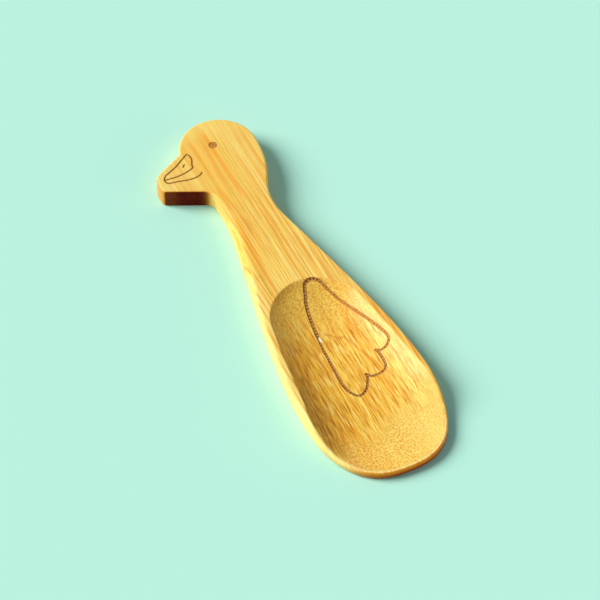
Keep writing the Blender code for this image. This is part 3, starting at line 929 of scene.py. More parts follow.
class Signal:
    """A number, vector or colour that a node puts out, open to sums and products."""

    __add__ = __radd__ = operation("ADD")
    __mul__ = __rmul__ = operation("MULTIPLY")
    __sub__ = operation("SUBTRACT")
    __rsub__ = operation("SUBTRACT", swapped=True)
    __truediv__ = operation("DIVIDE")
    lower = operation("MINIMUM")
    higher = operation("MAXIMUM")

    def __init__(self, wiring: "Wiring", socket: bpy.types.NodeSocket) -> None:
        """Keep the socket and the wiring of its tree."""
        self.wiring, self.socket = wiring, socket

    def __abs__(self) -> "Signal":
        """Return the number without its sign."""
        return self.wiring.math("ABSOLUTE", self)

    def step(self, start: object, end: object, low: float = 0.0, high: float = 1.0) -> "Signal":
        """Return a smooth step of the number, from low at start to high at end."""
        values = dict(enumerate((self, start, end, low, high)))
        return self.wiring.read(0, "ShaderNodeMapRange", values, interpolation_type="SMOOTHSTEP")

    def fall(self, start: object, end: object) -> "Signal":
        """Return a smooth step of the number, from 1 at start to 0 at end."""
        return self.step(start, end, 1.0, 0.0)

    def split(self, kind: str = "XYZ") -> list["Signal"]:
        """Return the three parts of a vector, or of a colour if the kind is Color."""
        node = self.wiring.place(f"ShaderNodeSeparate{kind}", {0: self})
        return [Signal(self.wiring, socket) for socket in node.outputs]


class Wiring:
    """Places nodes in a tree and joins them.

    A signal is linked, a colour is set with its alpha, and a number is set as it is.
    """

    def __init__(self, tree: Tree) -> None:
        """Keep the tree that the nodes go into."""
        self.tree = tree

    def join(self, values: dict[str | int, object], sockets: bpy.types.bpy_prop_collection) -> None:
        """Bring values to a node's inputs.

        Args:
            values: Signals, colours and numbers, by the name or number of their input.
            sockets: The node's inputs.
        """
        for name, value in values.items():
            if isinstance(value, Signal):
                self.tree.links.new(value.socket, sockets[name])
            else:
                sockets[name].default_value = (*value, 1.0) if isinstance(value, tuple) else value

    def place(self, kind: str, values: dict | None = None, **settings: object) -> bpy.types.Node:
        """Add a node.

        Args:
            kind: The node's type name.
            values: What goes to its inputs, by name or number.
            **settings: The node's own properties.

        Returns:
            The new node.
        """
        node = self.tree.nodes.new(kind)
        for name, value in settings.items():
            setattr(node, name, value)
        self.join(values or {}, node.inputs)
        return node

    def read(self, output: str | int, kind: str, values: dict | None = None, **settings: object) -> Signal:
        """Add a node and return one of its outputs, by name or number."""
        return Signal(self, self.place(kind, values, **settings).outputs[output])

    def math(self, name: str, *values: object, clamp: bool = False) -> Signal:
        """Return the result of a Math node."""
        return self.read(0, "ShaderNodeMath", dict(enumerate(values)), operation=name, use_clamp=clamp)

    def blend(self, share: object, first: object, second: object, mode: str = "MIX") -> Signal:
        """Return the blend of two colours by a share."""
        values = {0: share, 6: first, 7: second}
        return self.read(2, "ShaderNodeMix", values, data_type="RGBA", blend_type=mode)

    def paint(self, colour: object, *layers: tuple) -> Signal:
        """Return a colour with layers over it.

        Args:
            colour: The colour below.
            *layers: A share and a colour each, and the way of blending if it isn't MIX.

        Returns:
            The colour on top.
        """
        for share, over, *mode in layers:
            colour = self.blend(share, colour, over, *mode)
        return colour

    def vector(self, x: object, y: object, z: object = 0.0) -> Signal:
        """Return a vector made of three numbers."""
        return self.read(0, "ShaderNodeCombineXYZ", {0: x, 1: y, 2: z})

    def noise(
        self, place: tuple, detail: float = 2.0, roughness: float = 0.5, output: str | int = 0
    ) -> Signal:
        """Return noise at X, Y and Z, at a scale of 1."""
        values = {"Vector": self.vector(*place), "Scale": 1.0, "Detail": detail, "Roughness": roughness}
        return self.read(output, "ShaderNodeTexNoise", values, noise_dimensions="3D")

    def cells(self, x: object, y: object, randomness: float = 1.0, scale: float = 1.0) -> list[Signal]:
        """Return the distance from the middle of flat cells, and the colour of each cell.

        Args:
            x: The first number that the cells lie along.
            y: The second one.
            randomness: How uneven the cells are.
            scale: How many cells there are to a length of 1.

        Returns:
            The distance and the colour.
        """
        values = {"Vector": self.vector(x, y), "Scale": scale, "Randomness": randomness}
        node = self.place("ShaderNodeTexVoronoi", values, voronoi_dimensions="2D")
        return [Signal(self, node.outputs[name]) for name in ("Distance", "Color")]

    def attribute(self, name: str) -> Signal:
        """Return a number that the mesh carries on its points."""
        return self.read("Fac", "ShaderNodeAttribute", attribute_name=name, attribute_type="GEOMETRY")

    def millimetres(self) -> list[Signal]:
        """Return X, Y and Z of the surface in millimetres."""
        values = {0: self.read("Object", "ShaderNodeTexCoord"), "Scale": PER_MM}
        return self.read(0, "ShaderNodeVectorMath", values, operation="SCALE").split()

    def use(self, group: Tree, values: dict[str, float]) -> dict[str, Signal]:
        """Place a group, set those of its inputs that have a value, and return its outputs.

        Args:
            group: The node group.
            values: Numbers by the name of their input, also for other groups' inputs.

        Returns:
            The group's outputs by name.
        """
        node = self.place("ShaderNodeGroup", node_tree=group)
        self.join({name: values[name] for name in values if name in node.inputs}, node.inputs)
        return {socket.name: Signal(self, socket) for socket in node.outputs}


class GroupWiring(Wiring):
    """The wiring of a new shader node group whose inputs and outputs are numbers."""

    def __init__(self, name: str, inputs: dict[str, float]) -> None:
        """Make the group.

        Args:
            name: The group's name.
            inputs: Its inputs' names and usual values. They come in as self.given.
        """
        super().__init__(bpy.data.node_groups.new(name, "ShaderNodeTree"))
        for label, value in inputs.items():
            self.socket(label, "INPUT").default_value = value
        sockets = self.place("NodeGroupInput").outputs
        self.given = [Signal(self, sockets[label]) for label in inputs]

    def socket(self, label: str, way: str) -> bpy.types.NodeTreeInterfaceSocket:
        """Return a new input or output of the group."""
        return self.tree.interface.new_socket(label, in_out=way, socket_type="NodeSocketFloat")

    def put_out(self, results: dict[str, Signal]) -> Tree:
        """Give the group an output for each result.

        Args:
            results: What the group puts out, by name.

        Returns:
            The finished group.
        """
        for label in results:
            self.socket(label, "OUTPUT")
        self.place("NodeGroupOutput", results)
        return self.tree


def grain_group() -> Tree:
    """Return the group that draws the fibres of bamboo.

    Everything runs along Y and wanders a little to the sides. Bands, streaks and fibres
    are noise stretched along Y, each finer than the one before. Dashes and lines are
    long thin cells, strands that a cut along the board lays open. Clouds are wide.

    Returns:
        A group that puts out one number for each of them.
    """
    w = GroupWiring("bamboo_grain", {"Seed": 0.0, "Wander": 0.3})
    x, y, z = w.millimetres()
    seed, wander = w.given
    drift = w.noise((x * 0.10 + seed, y * 0.035, z * 0.10), detail=1.0, output="Color").split("Color")
    side = (drift[0] - 0.5) * (wander * 4.0) + x
    depth = (drift[1] - 0.5) * (wander * 4.0) + z
    drawn = {"Cloud": w.noise((x * 0.16 + seed, y * 0.06, z))}
    noises = (
        ("Band", 0.62, 0.010, 0.45, 1.0),
        ("Streak", 2.1, 0.030, 1.0, 2.0),
        ("Fibre", 3.6, 0.20, 2.4, 3.0),
    )
    for name, across, along, down, detail in noises:
        drawn[name] = w.noise((side * across + seed, y * along, depth * down), detail, 0.6)
    for name, length, thin, thick in (("Dash", 6.0, 0.14, 0.32), ("Line", 75.0, 0.16, 0.36)):
        away, colour = w.cells(seed * 3.7 + side / 0.55, (seed * 9.1 + y) / length)
        width, shade, _ = colour.split("Color")
        drawn[name] = (away - (width * (thick - thin) + thin)).fall(-0.05, 0.05)
        drawn[f"{name} Shade"] = shade
    return w.put_out(drawn)


def torn_group() -> Tree:
    """Return the group that draws fibres cut across.

    The mesh says where the scoop cut the fibres at a slant. There each strand's open end
    shows as a pale dot in a darker net, in cells of nearly even size, and towards the
    tip as a dark pit instead. The end grain is where the surface faces along Y, less so
    at the crown. The lip contact shade is painted shade on the lip's lower wall, darkest
    towards +X. The beak front shade is painted shade on the beak's short wall that faces
    -X. The painted rim highlight is a thin pale line on the rounded edge that faces +X,
    and the painted shade side is painted shade on the walls that face +X. Under the
    beak the end grain is made darker by painted shade.

    Returns:
        A group that puts out a share from 0 to 1 for each of them.
    """
    w = GroupWiring("cut_across", {"Size": 0.60, "Seed": 0.0})
    x, y, z = w.millimetres()
    size, seed = w.given
    shown, outside = w.attribute("open_grain"), 1.0 - w.attribute("dish")
    to_right, to_head, up = w.read("Normal", "ShaderNodeNewGeometry").split()
    patchy = w.noise((x * 1.1, y * 0.8, seed), 2.0, 0.7)
    tip = y.fall(-47.0, -39.0)
    dots = w.cells(x / size + seed, (y + z) / (size * 1.35), 0.9)[0]
    netted = shown * patchy.step(0.3, 0.62, 0.35, 1.0) * (1.0 - tip * 0.8)
    pits = w.cells(x, (y - z) / 1.4, 0.8, 1.6)[0]
    pitted = shown * tip * patchy.step(0.3, 0.6, 0.6, 1.0)
    right_side = to_right.step(0.0, 0.5)
    on_beak = y.step(36.0, 39.0) * y.fall(46.0, 49.0)
    slope = w.math("SQRT", 1.001 - up * up)
    faces_end = (abs(to_head) / slope).step(0.40, 0.90) * slope.step(0.35, 0.75)
    on_lip = z.fall(0.8, 2.3) * y.fall(-48.0, -40.0) * outside
    under_chin = to_head.fall(-0.88, -0.55) * y.step(28.0, 34.0)
    chin = x.step(-15.2, -12.0, 0.84, 1.0) * x.step(-9.0, -5.9, 1.0, 0.55)
    return w.put_out({
        "Shown": shown,
        "Net": dots.step(0.36, 0.66) * netted,
        "Dots": (dots.fall(0.10, 0.36) * netted).higher(pits.step(0.28, 0.50, 0.0, 0.95) * pitted),
        "Pits": pits.fall(0.14, 0.40) * pitted,
        "Side": abs(up).fall(0.35, 0.85) * y.step(-15.0, 15.0, 1.0, 0.35),
        # painted shade: the walls and low edges that face +X, away from the key lamp, turn a deeper orange
        "Painted Shade Side": up.fall(0.1, 0.7) * right_side,
        # painted highlight: a thin pale line on the rounded edge that faces +X
        "Painted Rim Highlight": up.step(0.10, 0.35) * up.fall(0.60, 0.88) * right_side,
        # painted shade: the beak's short front wall, which faces -X, is made darker and browner
        "Beak Front": to_right.fall(-0.85, -0.25) * on_beak,
        "End Grain": faces_end * y.step(0.0, 30.0, 1.0, 0.5) * outside,
        # painted shade: the lip's lower wall darkens towards the floor and towards +X
        "Lip Contact Shade": on_lip * x.step(-15.0, -2.0, 0.3, 1.0),
        # end grain under the beak, made much darker as painted shade
        "Under Beak Grain And Shade": under_chin * chin,
    })


def stain_group() -> Tree:
    """Return the group that draws one long stain in the grain.

    It follows a line that leans from X at Low Y by Lean for each millimetre, is soft at
    its sides and fades out at both ends. Noise stretched along Y breaks it up.

    Returns:
        A group that puts out how strong the stain is.
    """
    inputs = {"X": 0.0, "Lean": 0.0, "Half Width": 0.6, "Low Y": 0.0, "High Y": 10.0, "Seed": 0.0}
    w = GroupWiring("stain", inputs)
    x, y, z = w.millimetres()
    middle, lean, half_width, low, high, seed = w.given
    across = abs(x - (middle + (y - low) * lean)) / half_width
    along = (y - low) / (high - low)
    broken = w.noise((x * 1.6 + seed, y * 0.07, z * 0.5), 2.0, 0.6)
    faded = along.step(0.0, 0.22) * along.fall(0.8, 1.0)
    return w.put_out({"Stain": across.fall(0.15, 1.1) * faded * broken.step(0.25, 0.6, 0.45, 1.0)})


def joint_group() -> Tree:
    """Return the group that draws the glue joints and the nodes of the bamboo.

    A joint is a thin line wherever X is a whole number of strip widths. A node is a soft
    band across one strip that leans from its Y at the strip's middle, and it waves.

    Returns:
        A group that puts out how strong the joints and the node are.
    """
    inputs = {"Strip Width": 4.4, "Node X": 0.0, "Node Y": 0.0, "Node Slant": 0.3, "Seed": 0.0}
    w = GroupWiring("joints_and_nodes", inputs)
    x, y, z = w.millimetres()
    width, node_x, node_y, slant, seed = w.given
    from_joint = abs(w.math("FRACT", x / width + 0.5) - 0.5) * width
    wave = (w.noise((x * 0.55 + seed, y * 0.03, z), 1.5) - 0.5) * 2.2
    middle = node_y + (x - node_x) * slant + wave
    away = abs(y - middle) / w.math("SQRT", slant * slant + 1.0)
    return w.put_out({"Joint": from_joint.fall(0.015, 0.06), "Node": away.fall(0.08, 0.5)})


def burn_group() -> Tree:
    """Return the group that draws the burnt marks.

    The mesh carries each point's distance from the marks. Inside a line's half width
    the wood is burnt, with an uneven edge. The wing's line looks like a cord, since the
    burn comes in slanted pulses with lighter specks between its two dark edges, and it
    is fainter where the mesh says so. The eye is mottled, with a darker edge.

    Returns:
        A group that puts out a share from 0 to 1 for each kind of mark.
    """
    w = GroupWiring("burnt_marks", {"Fine Width": 0.32})
    x, y, z = w.millimetres()
    fine, wing, along = (w.attribute(name) for name in ("fine_line", "wing_line", "wing_along"))
    inside, faint, chip = (w.attribute(name) for name in ("eye_inside", "wing_faint", "chip"))
    rough = w.noise((x * 3.2, y * 3.2, z), 2.0, 0.7)
    ragged = (rough - 0.5) * 0.24
    wing_burn = (ragged * 2.4 + wing).fall(0.72, 1.22)
    twist = w.math("SINE", wing * 1.6 + along * (2.0 * math.pi / 0.9))
    pulse = twist * 0.16 + (rough - 0.44) * 1.6
    speck = wing.fall(0.35, 0.85) * pulse.step(0.02, 0.10) * wing_burn
    mottle = w.noise((x * 2.0, y * 2.0, z), 1.0, 0.7)
    return w.put_out({
        "Fine": (ragged * 0.6 + (fine - w.given[0] * 0.5)).fall(-0.06, 0.07),
        "Wing": wing_burn,
        "Eye": (inside + ragged).step(-0.05, 0.12),
        "Speck": speck.higher(inside.step(0.15, 0.45) * mottle.step(0.42, 0.60)),
        "Faint": faint,
        "Scorch": (wing * 0.3).lower(fine).fall(0.15, 0.6),
        # painted glint: a small pale spot
        "Chip": (chip + ragged * 2.0).fall(0.75, 1.1),
    })


def wear_group() -> Tree:
    """Return the group that draws the worn edge where the lacquer is thin.

    The mesh carries how close each point is to the crease between the rim and the dish.
    Wear shows on the crease near the tip, where use rubs it, broken up by noise.

    Returns:
        A group that puts out how strong the wear is.
    """
    w = GroupWiring("worn_lip", {"Starts": -44.0, "Full": -54.0})
    x, y, z = w.millimetres()
    starts, full = w.given
    broken = w.noise((x * 0.9, y * 0.9, z), 3.0, 0.6).step(0.30, 0.55, 0.25, 1.0)
    return w.put_out({"Wear": y.fall(full, starts) * w.attribute("crease").step(0.6, 1.0) * broken})


def new_material(name: str) -> tuple[bpy.types.Material, Wiring, bpy.types.bpy_prop_collection]:
    """Return a new material with a plain shader.

    Args:
        name: The material's name.

    Returns:
        The material, its wiring and its shader's inputs.
    """
    material = bpy.data.materials.new(name)
    material.use_nodes = True
    return material, Wiring(material.node_tree), material.node_tree.nodes["Principled BSDF"].inputs


def put_in_scene(name: str, data: bpy.types.ID) -> bpy.types.Object:
    """Return a new object of a mesh, a lamp or a camera, in the scene.

    Args:
        name: The object's name.
        data: What the object shows.

    Returns:
        The new object.
    """
    made = bpy.data.objects.new(name, data)
    bpy.context.scene.collection.objects.link(made)
    return made


@dataclass(frozen=True)
class Stain:
    """A long stain in a strip's grain, in millimetres, with its strength and darkness."""

    x: float
    low_y: float
    high_y: float
    half_width: float
    strength: float
    lean: float = 0.0
    dark: bool = False

    def inputs(self) -> dict[str, float]:
        """Return the values for the group that draws it."""
        sides = {"X": self.x, "Lean": self.lean, "Half Width": self.half_width}
        return sides | {"Low Y": self.low_y, "High Y": self.high_y}


@dataclass(frozen=True)
class NodeMark:
    """The mark that a node of the bamboo leaves across one strip, in millimetres."""

    x: float = 0.0
    y: float = 0.0
    slant: float = 0.0
    strength: float = 0.0


@dataclass(frozen=True)
class BambooFinish:
    """Colours and gloss of a strip of lacquered bamboo, as linear red, green and blue."""

    tone: Colour
    node: NodeMark = NodeMark()
    stains: tuple[Stain, ...] = ()
    pale: Colour = (0.98, 0.72, 0.19)
    orange: Colour = (0.84, 0.37, 0.05)
    stain: Colour = (0.97, 0.37, 0.035)
    dark_stain: Colour = (0.30, 0.12, 0.025)
    dash: Colour = (1.0, 0.74, 0.21)
    line: Colour = (1.0, 0.80, 0.30)
    dark_line: Colour = (0.78, 0.33, 0.045)
    dark_dash: Colour = (0.60, 0.25, 0.03)
    furrow: Colour = (0.82, 0.50, 0.20)
    node_line: Colour = (0.66, 0.22, 0.03)
    dish: Colour = (0.99, 0.94, 0.68)
    # colour that multiplies the painted shade on the dish's -X wall
    patina: Colour = (1.0, 0.89, 0.58)
    side: Colour = (1.0, 0.74, 0.25)
    # colour of the painted shade on the walls that face +X
    painted_shade_side: Colour = (0.92, 0.36, 0.03)
    # colour of the painted highlight on the rounded edge that faces +X
    painted_rim_highlight: Colour = (1.0, 0.72, 0.32)
    pit: Colour = (0.78, 0.28, 0.045)
    # colour that multiplies the painted shade on the lip's lower wall
    lip_contact_shade: Colour = (0.42, 0.17, 0.06)
    # colour that multiplies the painted shade on the beak's front wall
    beak_front_shade: Colour = (0.77, 0.46, 0.22)
    # multiplies the painted shade on the +X rim and the darker throat
    dulled: Colour = (1.0, 0.86, 0.64)
    # brown of the painted shade near the crease
    crease_shade_brown: Colour = (0.40, 0.15, 0.015)
    end_grain: Colour = (1.0, 0.30, 0.010)
    # colours of the end grain under the beak, darkened as painted shade
    chin_shade_brown: Colour = (0.62, 0.16, 0.008)
    under_beak_grain_and_shade: Colour = (0.14, 0.008, 0.0)
    line_burn: Colour = (0.19, 0.055, 0.006)
    wing_burn: Colour = (0.145, 0.026, 0.009)
    faint_burn: Colour = (0.60, 0.21, 0.03)
    eye_burn: Colour = (0.34, 0.11, 0.018)
    ember: Colour = (0.72, 0.34, 0.09)
    worn: Colour = (0.98, 0.76, 0.40)
    # colour of the painted glint
    chip: Colour = (0.90, 0.82, 0.60)
    glue: Colour = (0.60, 0.28, 0.05)
    seed_step: float = 3.17
    roughness: float = 0.42
    coat: float = 0.20
    coat_roughness: float = 0.3
    specular: float = 0.10
    bump: float = 0.55
    bump_depth: float = 0.03 * MM

    def material(self, number: int, groups: list[Tree], stain: Tree) -> bpy.types.Material:
        """Return a strip's material, which reads Object coordinates and the mesh's own numbers.

        Args:
            number: The strip's number in the board, from which its grain follows.
            groups: The shared node groups whose masks the finish uses.
            stain: The group that draws one stain.

        Returns:
            The new material.
        """
        material, w, shader = new_material(f"lacquered_bamboo_strip_{number}")
        node, seed = self.node, {"Seed": self.seed_step * number}
        values = seed | {"Node X": node.x, "Node Y": node.y, "Node Slant": node.slant}
        mask = {name: signal for group in groups for name, signal in w.use(group, values).items()}
        stains = [w.use(stain, mark.inputs() | seed)["Stain"] * mark.strength for mark in self.stains]
        colour = self.burnt(w, mask, self.wood(w, mask, stains))
        w.join({"Base Color": colour} | self.gloss(w, mask), shader)
        return material

    def wood(self, w: Wiring, mask: dict[str, Signal], stains: list[Signal]) -> Signal:
        """Return the colour of the wood: bands, streaks, lines, stains and cut fibres.

        Args:
            w: The material's wiring.
            mask: What the shared groups put out, by name.
            stains: How strong each of the strip's stains is.

        Returns:
            The wood's colour.
        """
        band, streak, fibre = mask["Band"], mask["Streak"], mask["Fibre"]
        line_shade, dash_shade, under = mask["Line Shade"], mask["Dash Shade"], mask["Under Beak Grain And Shade"]
        dish, height = w.attribute("dish"), w.millimetres()[1]
        clear = height.step(28.0, 40.0, 1.0, 0.40) * (1.0 - mask["Side"] * 0.7)
        clear = clear * (1.0 - mask["Shown"] * 0.85)
        lines = mask["Line"] * clear * (1.0 - dish * 0.6)
        dashed = dish * (1.0 - mask["Shown"] * 0.93)
        unevenness = dashed * 0.35 + clear * 0.55
        end = w.blend(1.0, self.end_grain, streak.step(0.35, 0.65, 0.9, 1.03), "MULTIPLY")
        under_beak_grain_and_shade = w.blend(1.0, self.under_beak_grain_and_shade, streak.step(0.40, 0.62, 0.65, 1.25), "MULTIPLY")
        shades = [self.dark_stain if mark.dark else self.stain for mark in self.stains]
        return w.paint(
            self.tone,
            (band.step(0.50, 0.66, 0.0, 0.45), self.pale),
            (band.step(0.48, 0.34, 0.0, 0.45), self.orange),
            (streak.step(0.51, 0.62, 0.0, 0.82) * clear, self.pale),
            (streak.step(0.49, 0.37, 0.0, 0.85) * clear, self.orange),
            (height.step(50.0, 59.0, 0.0, 0.55), self.pale),
            (lines * line_shade.step(0.55, 0.7, 0.0, 0.80), self.line),
            (lines * line_shade.step(0.45, 0.25, 0.0, 0.75), self.dark_line),
            (mask["Cloud"].step(0.45, 0.7, 0.0, 0.16), self.orange),
            *zip(stains, shades),
            # the walls are painted paler: partly their own paler tone, partly painted light standing for
            # the bright wall that faces the key lamp
            (mask["Side"] * 0.5, self.side),
            # painted shade on the walls that face +X
            (mask["Painted Shade Side"] * 0.75, self.painted_shade_side),
            # painted highlight on the rounded edge that faces +X
            (mask["Painted Rim Highlight"] * 0.8, self.painted_rim_highlight),
            # painted shade on the beak's front wall
            (mask["Beak Front"], self.beak_front_shade, "MULTIPLY"),
            # painted shade on the +X rim, and the darker throat
            (w.attribute("dulled"), self.dulled, "MULTIPLY"),
            (dish, self.dish, "MULTIPLY"),
            # painted shade on the dish's -X wall
            (w.attribute("patina"), self.patina, "MULTIPLY"),
            (mask["Dash"] * dash_shade.step(0.40, 0.55) * (dashed * 0.78 + 0.08), self.dash),
            (mask["Dash"] * dash_shade.step(0.35, 0.22) * (dashed * 0.62 + 0.08), self.dark_dash),
            (mask["Net"] * 0.58, self.dark_dash),
            (mask["Dots"] * 0.62, self.dash),
            (mask["Pits"] * 0.72, self.pit),
            # painted shade near the crease, broken into brown patches by the fibres
            (w.attribute("tarnish") * fibre.step(0.62, 0.36, 0.34, 0.66), self.crease_shade_brown),
            # painted light on the tip and on the dish's +X wall
            (w.attribute("bleached") * 0.45, self.pale),
            (1.0, (fibre - 0.5) * unevenness + 1.0, "MULTIPLY"),
            (fibre.step(0.54, 0.34, 0.0, 0.95) * dashed, self.furrow, "MULTIPLY"),
            (mask["Node"] * self.node.strength, self.node_line),
            (mask["Joint"] * 0.35, self.glue),
            (mask["End Grain"] * 0.9, end),
            # painted shade along the lip's lower wall
            (mask["Lip Contact Shade"], self.lip_contact_shade, "MULTIPLY"),
            # painted shade under the beak, over its end grain
            (under.step(0.0, 0.45, 0.0, 0.9), self.chin_shade_brown),
            (under.step(0.30, 1.0), under_beak_grain_and_shade),
        )

    def burnt(self, w: Wiring, mask: dict[str, Signal], wood: Signal) -> Signal:
        """Return the colour of the wood with the worn lip and the burnt marks on it.

        Args:
            w: The material's wiring.
            mask: What the shared groups put out, by name.
            wood: The wood's colour.

        Returns:
            The finished colour.
        """
        return w.paint(
            wood,
            (mask["Wear"] * 0.85, self.worn),
            (mask["Scorch"] * 0.30, self.dark_dash),
            (mask["Fine"] * 0.94, self.line_burn),
            (mask["Wing"] * 0.92, w.blend(mask["Faint"], self.wing_burn, self.faint_burn)),
            (mask["Eye"] * 0.82, self.eye_burn),
            (mask["Speck"] * 0.80, self.ember),
            # painted glint
            (mask["Chip"] * 0.85, self.chip),
        )

    def gloss(self, w: Wiring, mask: dict[str, Signal]) -> dict[str, object]:
        """Return how rough, how lacquered and how uneven the surface is.

        Args:
            w: The material's wiring.
            mask: What the shared groups put out, by name.

        Returns:
            Values for the shader's inputs, by name.
        """
        fibre, end, under = mask["Fibre"], mask["End Grain"], mask["Under Beak Grain And Shade"]
        marks = mask["Fine"].higher(mask["Wing"]).higher(mask["Eye"])
        bare = marks.higher(mask["Wear"]).higher(end.higher(under))
        rough = (fibre - 0.5) * 0.16 + self.roughness + end * 0.14 + under * 0.30
        height = mask["Streak"] * 0.8 + fibre * 0.9 + mask["Dash"] * w.attribute("dish") * 0.9
        height = height - mask["Net"] * 0.8 + mask["Speck"] * 0.8
        bumps = {"Strength": self.bump, "Distance": self.bump_depth, "Height": height}
        return {
            "Roughness": w.math("ADD", rough, marks * 0.25, clamp=True),
            "Coat Weight": (1.0 - bare) * self.coat,
            "Coat Roughness": self.coat_roughness,
            "Specular IOR Level": self.specular,
            "Normal": w.read(0, "ShaderNodeBump", bumps),
        }


@dataclass
class SpoonBoard:
    """The board of strips: it makes each strip's mesh and dresses it."""

    head_y: float = 24.0 * MM
    finishes: tuple[BambooFinish, ...] = (
        BambooFinish((0.92, 0.63, 0.17)),
        BambooFinish(
            (0.92, 0.59, 0.14), NodeMark(-11.0, 12.0, -0.2, 0.12),
            (Stain(-7.3, -2.0, 8.2, 0.16, 0.75, 0.03, True),),
        ),
        BambooFinish(
            (0.92, 0.58, 0.11), NodeMark(),
            (Stain(-7.3, -2.0, 8.2, 0.16, 0.75, 0.03, True), Stain(-5.6, 38.0, 57.0, 2.0, 0.35)),
        ),
        BambooFinish(
            (0.92, 0.57, 0.10), NodeMark(-2.2, -13.8, 0.1, 0.15),
            (
                Stain(-1.9, 34.0, 58.0, 2.0, 0.36), Stain(-3.7, 28.0, 56.0, 0.50, 0.78),
                Stain(-1.6, 6.0, 26.0, 0.30, 0.20),
            ),
        ),
        BambooFinish(
            (0.93, 0.59, 0.115), NodeMark(2.2, -15.8, -0.7, 0.55),
            (Stain(0.4, 28.0, 59.0, 0.9, 0.92), Stain(2.7, 4.0, 34.0, 0.30, 0.30)),
        ),
        BambooFinish(
            (0.92, 0.55, 0.105), NodeMark(6.6, -25.0, -3.4, 0.45),
            (Stain(5.1, 14.0, 48.0, 0.35, 0.38), Stain(7.4, 26.0, 40.0, 0.30, 0.35)),
        ),
        BambooFinish(
            (0.92, 0.57, 0.12), NodeMark(11.0, -45.2, -0.2, 0.16),
            (Stain(9.6, 30.0, 46.0, 0.35, 0.35),),
        ),
        BambooFinish((0.90, 0.55, 0.11), NodeMark(15.0, -46.2, -0.2, 0.10)),
    )

    def strips(self) -> list[Strip]:
        """Return every solid of every strip.

        Returns:
            The solids, from the beak's side to the back.
        """
        return [
            Strip(1, "beak_tip", low_y=self.head_y),
            Strip(1, "left_rim", high_y=self.head_y),
            Strip(2, "beak_root", low_y=self.head_y),
            Strip(2, "left_wall", high_y=self.head_y),
            Strip(3, "chin"),
            Strip(4, "brow"),
            Strip(5, "eye"),
            Strip(6, "nape"),
            Strip(7, "back_of_head", low_y=self.head_y),
            Strip(7, "right_wall", high_y=self.head_y),
            Strip(8, "right_rim"),
        ]

    def build(self) -> None:
        """Make every strip, dress it and put it in the place of its CAD solid."""
        surface = SpoonSurface()
        groups = [grain_group(), torn_group(), joint_group(), burn_group(), wear_group()]
        stain = stain_group()
        materials = [finish.material(k, groups, stain) for k, finish in enumerate(self.finishes, 1)]
        for strip in self.strips():
            mesh = strip.mesh(surface)
            mesh.materials.append(materials[strip.number - 1])
            piece = put_in_scene(mesh.name, mesh)
            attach(piece, "root")
            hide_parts(f"strip_{strip.number}_{strip.label}")
            log.info("%s: %d points, %d faces", piece.name, len(mesh.vertices), len(mesh.polygons))


@dataclass(frozen=True)
class Lamp:
    """A far soft lamp, with its watts for each square metre and how wide it looks."""

    name: str
    comes_from: Direction
    strength: float
    angle: float
    colour: Colour

    def hang(self) -> None:
        """Put the lamp into the scene, turned so that its light comes from its side."""
        lamp = bpy.data.lights.new(self.name, "SUN")
        lamp.energy, lamp.angle, lamp.color = self.strength, self.angle, self.colour
        holder = put_in_scene(self.name, lamp)
        holder.rotation_euler = Vector(self.comes_from).to_track_quat("Z", "Y").to_euler()


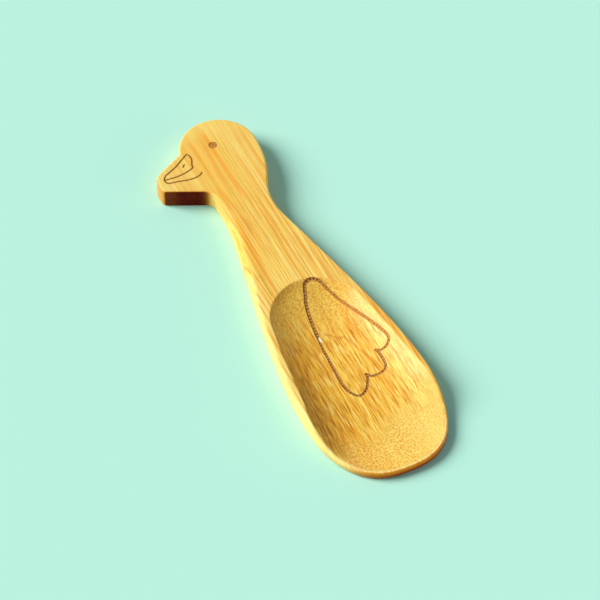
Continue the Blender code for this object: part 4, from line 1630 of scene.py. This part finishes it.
@dataclass
class Studio:
    """The floor, the light and the camera, which looks down at the spoon from its tip."""

    floor_half_width: float = 1.5
    floor_colour: Colour = (0.49, 0.84, 0.70)
    floor_roughness: float = 0.9
    floor_specular: float = 0.1
    lamps: tuple[Lamp, ...] = (
        Lamp("key", (-0.82, 0.57, 0.65), 4.55, math.radians(36.0), (1.0, 0.965, 0.93)),
        Lamp("fill", (0.6, -0.78, 0.16), 1.15, math.radians(40.0), (1.0, 0.66, 0.42)),
    )
    sky_colour: Colour = (0.60, 1.0, 1.18)
    sky_strength: float = 0.25
    backdrop_colour: Colour = (0.72, 0.93, 0.86)
    azimuth: float = math.radians(-26.2)
    elevation: float = math.radians(50.0)
    distance: float = 0.7728
    lens: float = 189.2
    sensor_width: float = 36.0
    nearest: float = 0.01
    target: tuple[float, float, float] = (0.0003, -0.0007, 0.0)

    def floor(self) -> None:
        """Lay a plain floor, a square whose middle is under the spoon."""
        size = self.floor_half_width
        mesh = bpy.data.meshes.new("floor")
        corners = [(-size, -size, 0.0), (size, -size, 0.0), (size, size, 0.0), (-size, size, 0.0)]
        mesh.from_pydata(corners, [], [(0, 1, 2, 3)])
        material, w, shader = new_material("plain_floor")
        looks = {"Base Color": self.floor_colour, "Roughness": self.floor_roughness}
        w.join(looks | {"Specular IOR Level": self.floor_specular}, shader)
        mesh.materials.append(material)
        put_in_scene("floor", mesh)
        log.info("floor: %.1f m wide", 2.0 * size)

    def light(self) -> None:
        """Set two wide soft lamps and an even sky, whose backdrop only the camera sees."""
        for lamp in self.lamps:
            lamp.hang()
        world = bpy.data.worlds.new("studio")
        bpy.context.scene.world = world
        world.use_nodes = True
        world.node_tree.nodes.clear()
        w = Wiring(world.node_tree)
        sky = w.read(0, "ShaderNodeBackground", {0: self.sky_colour, 1: self.sky_strength})
        backdrop = w.read(0, "ShaderNodeBackground", {0: self.backdrop_colour, 1: 1.0})
        seen = w.read("Is Camera Ray", "ShaderNodeLightPath")
        mixed = w.read(0, "ShaderNodeMixShader", {0: seen, 1: sky, 2: backdrop})
        w.place("ShaderNodeOutputWorld", {"Surface": mixed})
        log.info("light: two lamps and sky")

    def camera(self) -> None:
        """Place the camera at the picture's angle, aimed at a point on the floor."""
        back = Vector((
            math.sin(self.azimuth) * math.cos(self.elevation),
            -math.cos(self.azimuth) * math.cos(self.elevation),
            math.sin(self.elevation),
        ))
        lens = bpy.data.cameras.new("camera")
        lens.lens, lens.sensor_width, lens.clip_start = self.lens, self.sensor_width, self.nearest
        camera = put_in_scene("camera", lens)
        camera.location = Vector(self.target) + back * self.distance
        camera.rotation_euler = (-back).to_track_quat("-Z", "Y").to_euler()
        bpy.context.scene.camera = camera
        log.info("camera: %.0f mm lens", self.lens)

    def build(self) -> None:
        """Set up the whole studio."""
        self.floor()
        self.light()
        self.camera()
        bpy.context.scene.view_settings.view_transform = "Standard"


def main() -> None:
    """Build the spoon and its studio, and report each piece."""
    logging.basicConfig(level=logging.INFO, format="%(message)s")
    SpoonBoard().build()
    Studio().build()


if __name__ == "__main__":
    main()
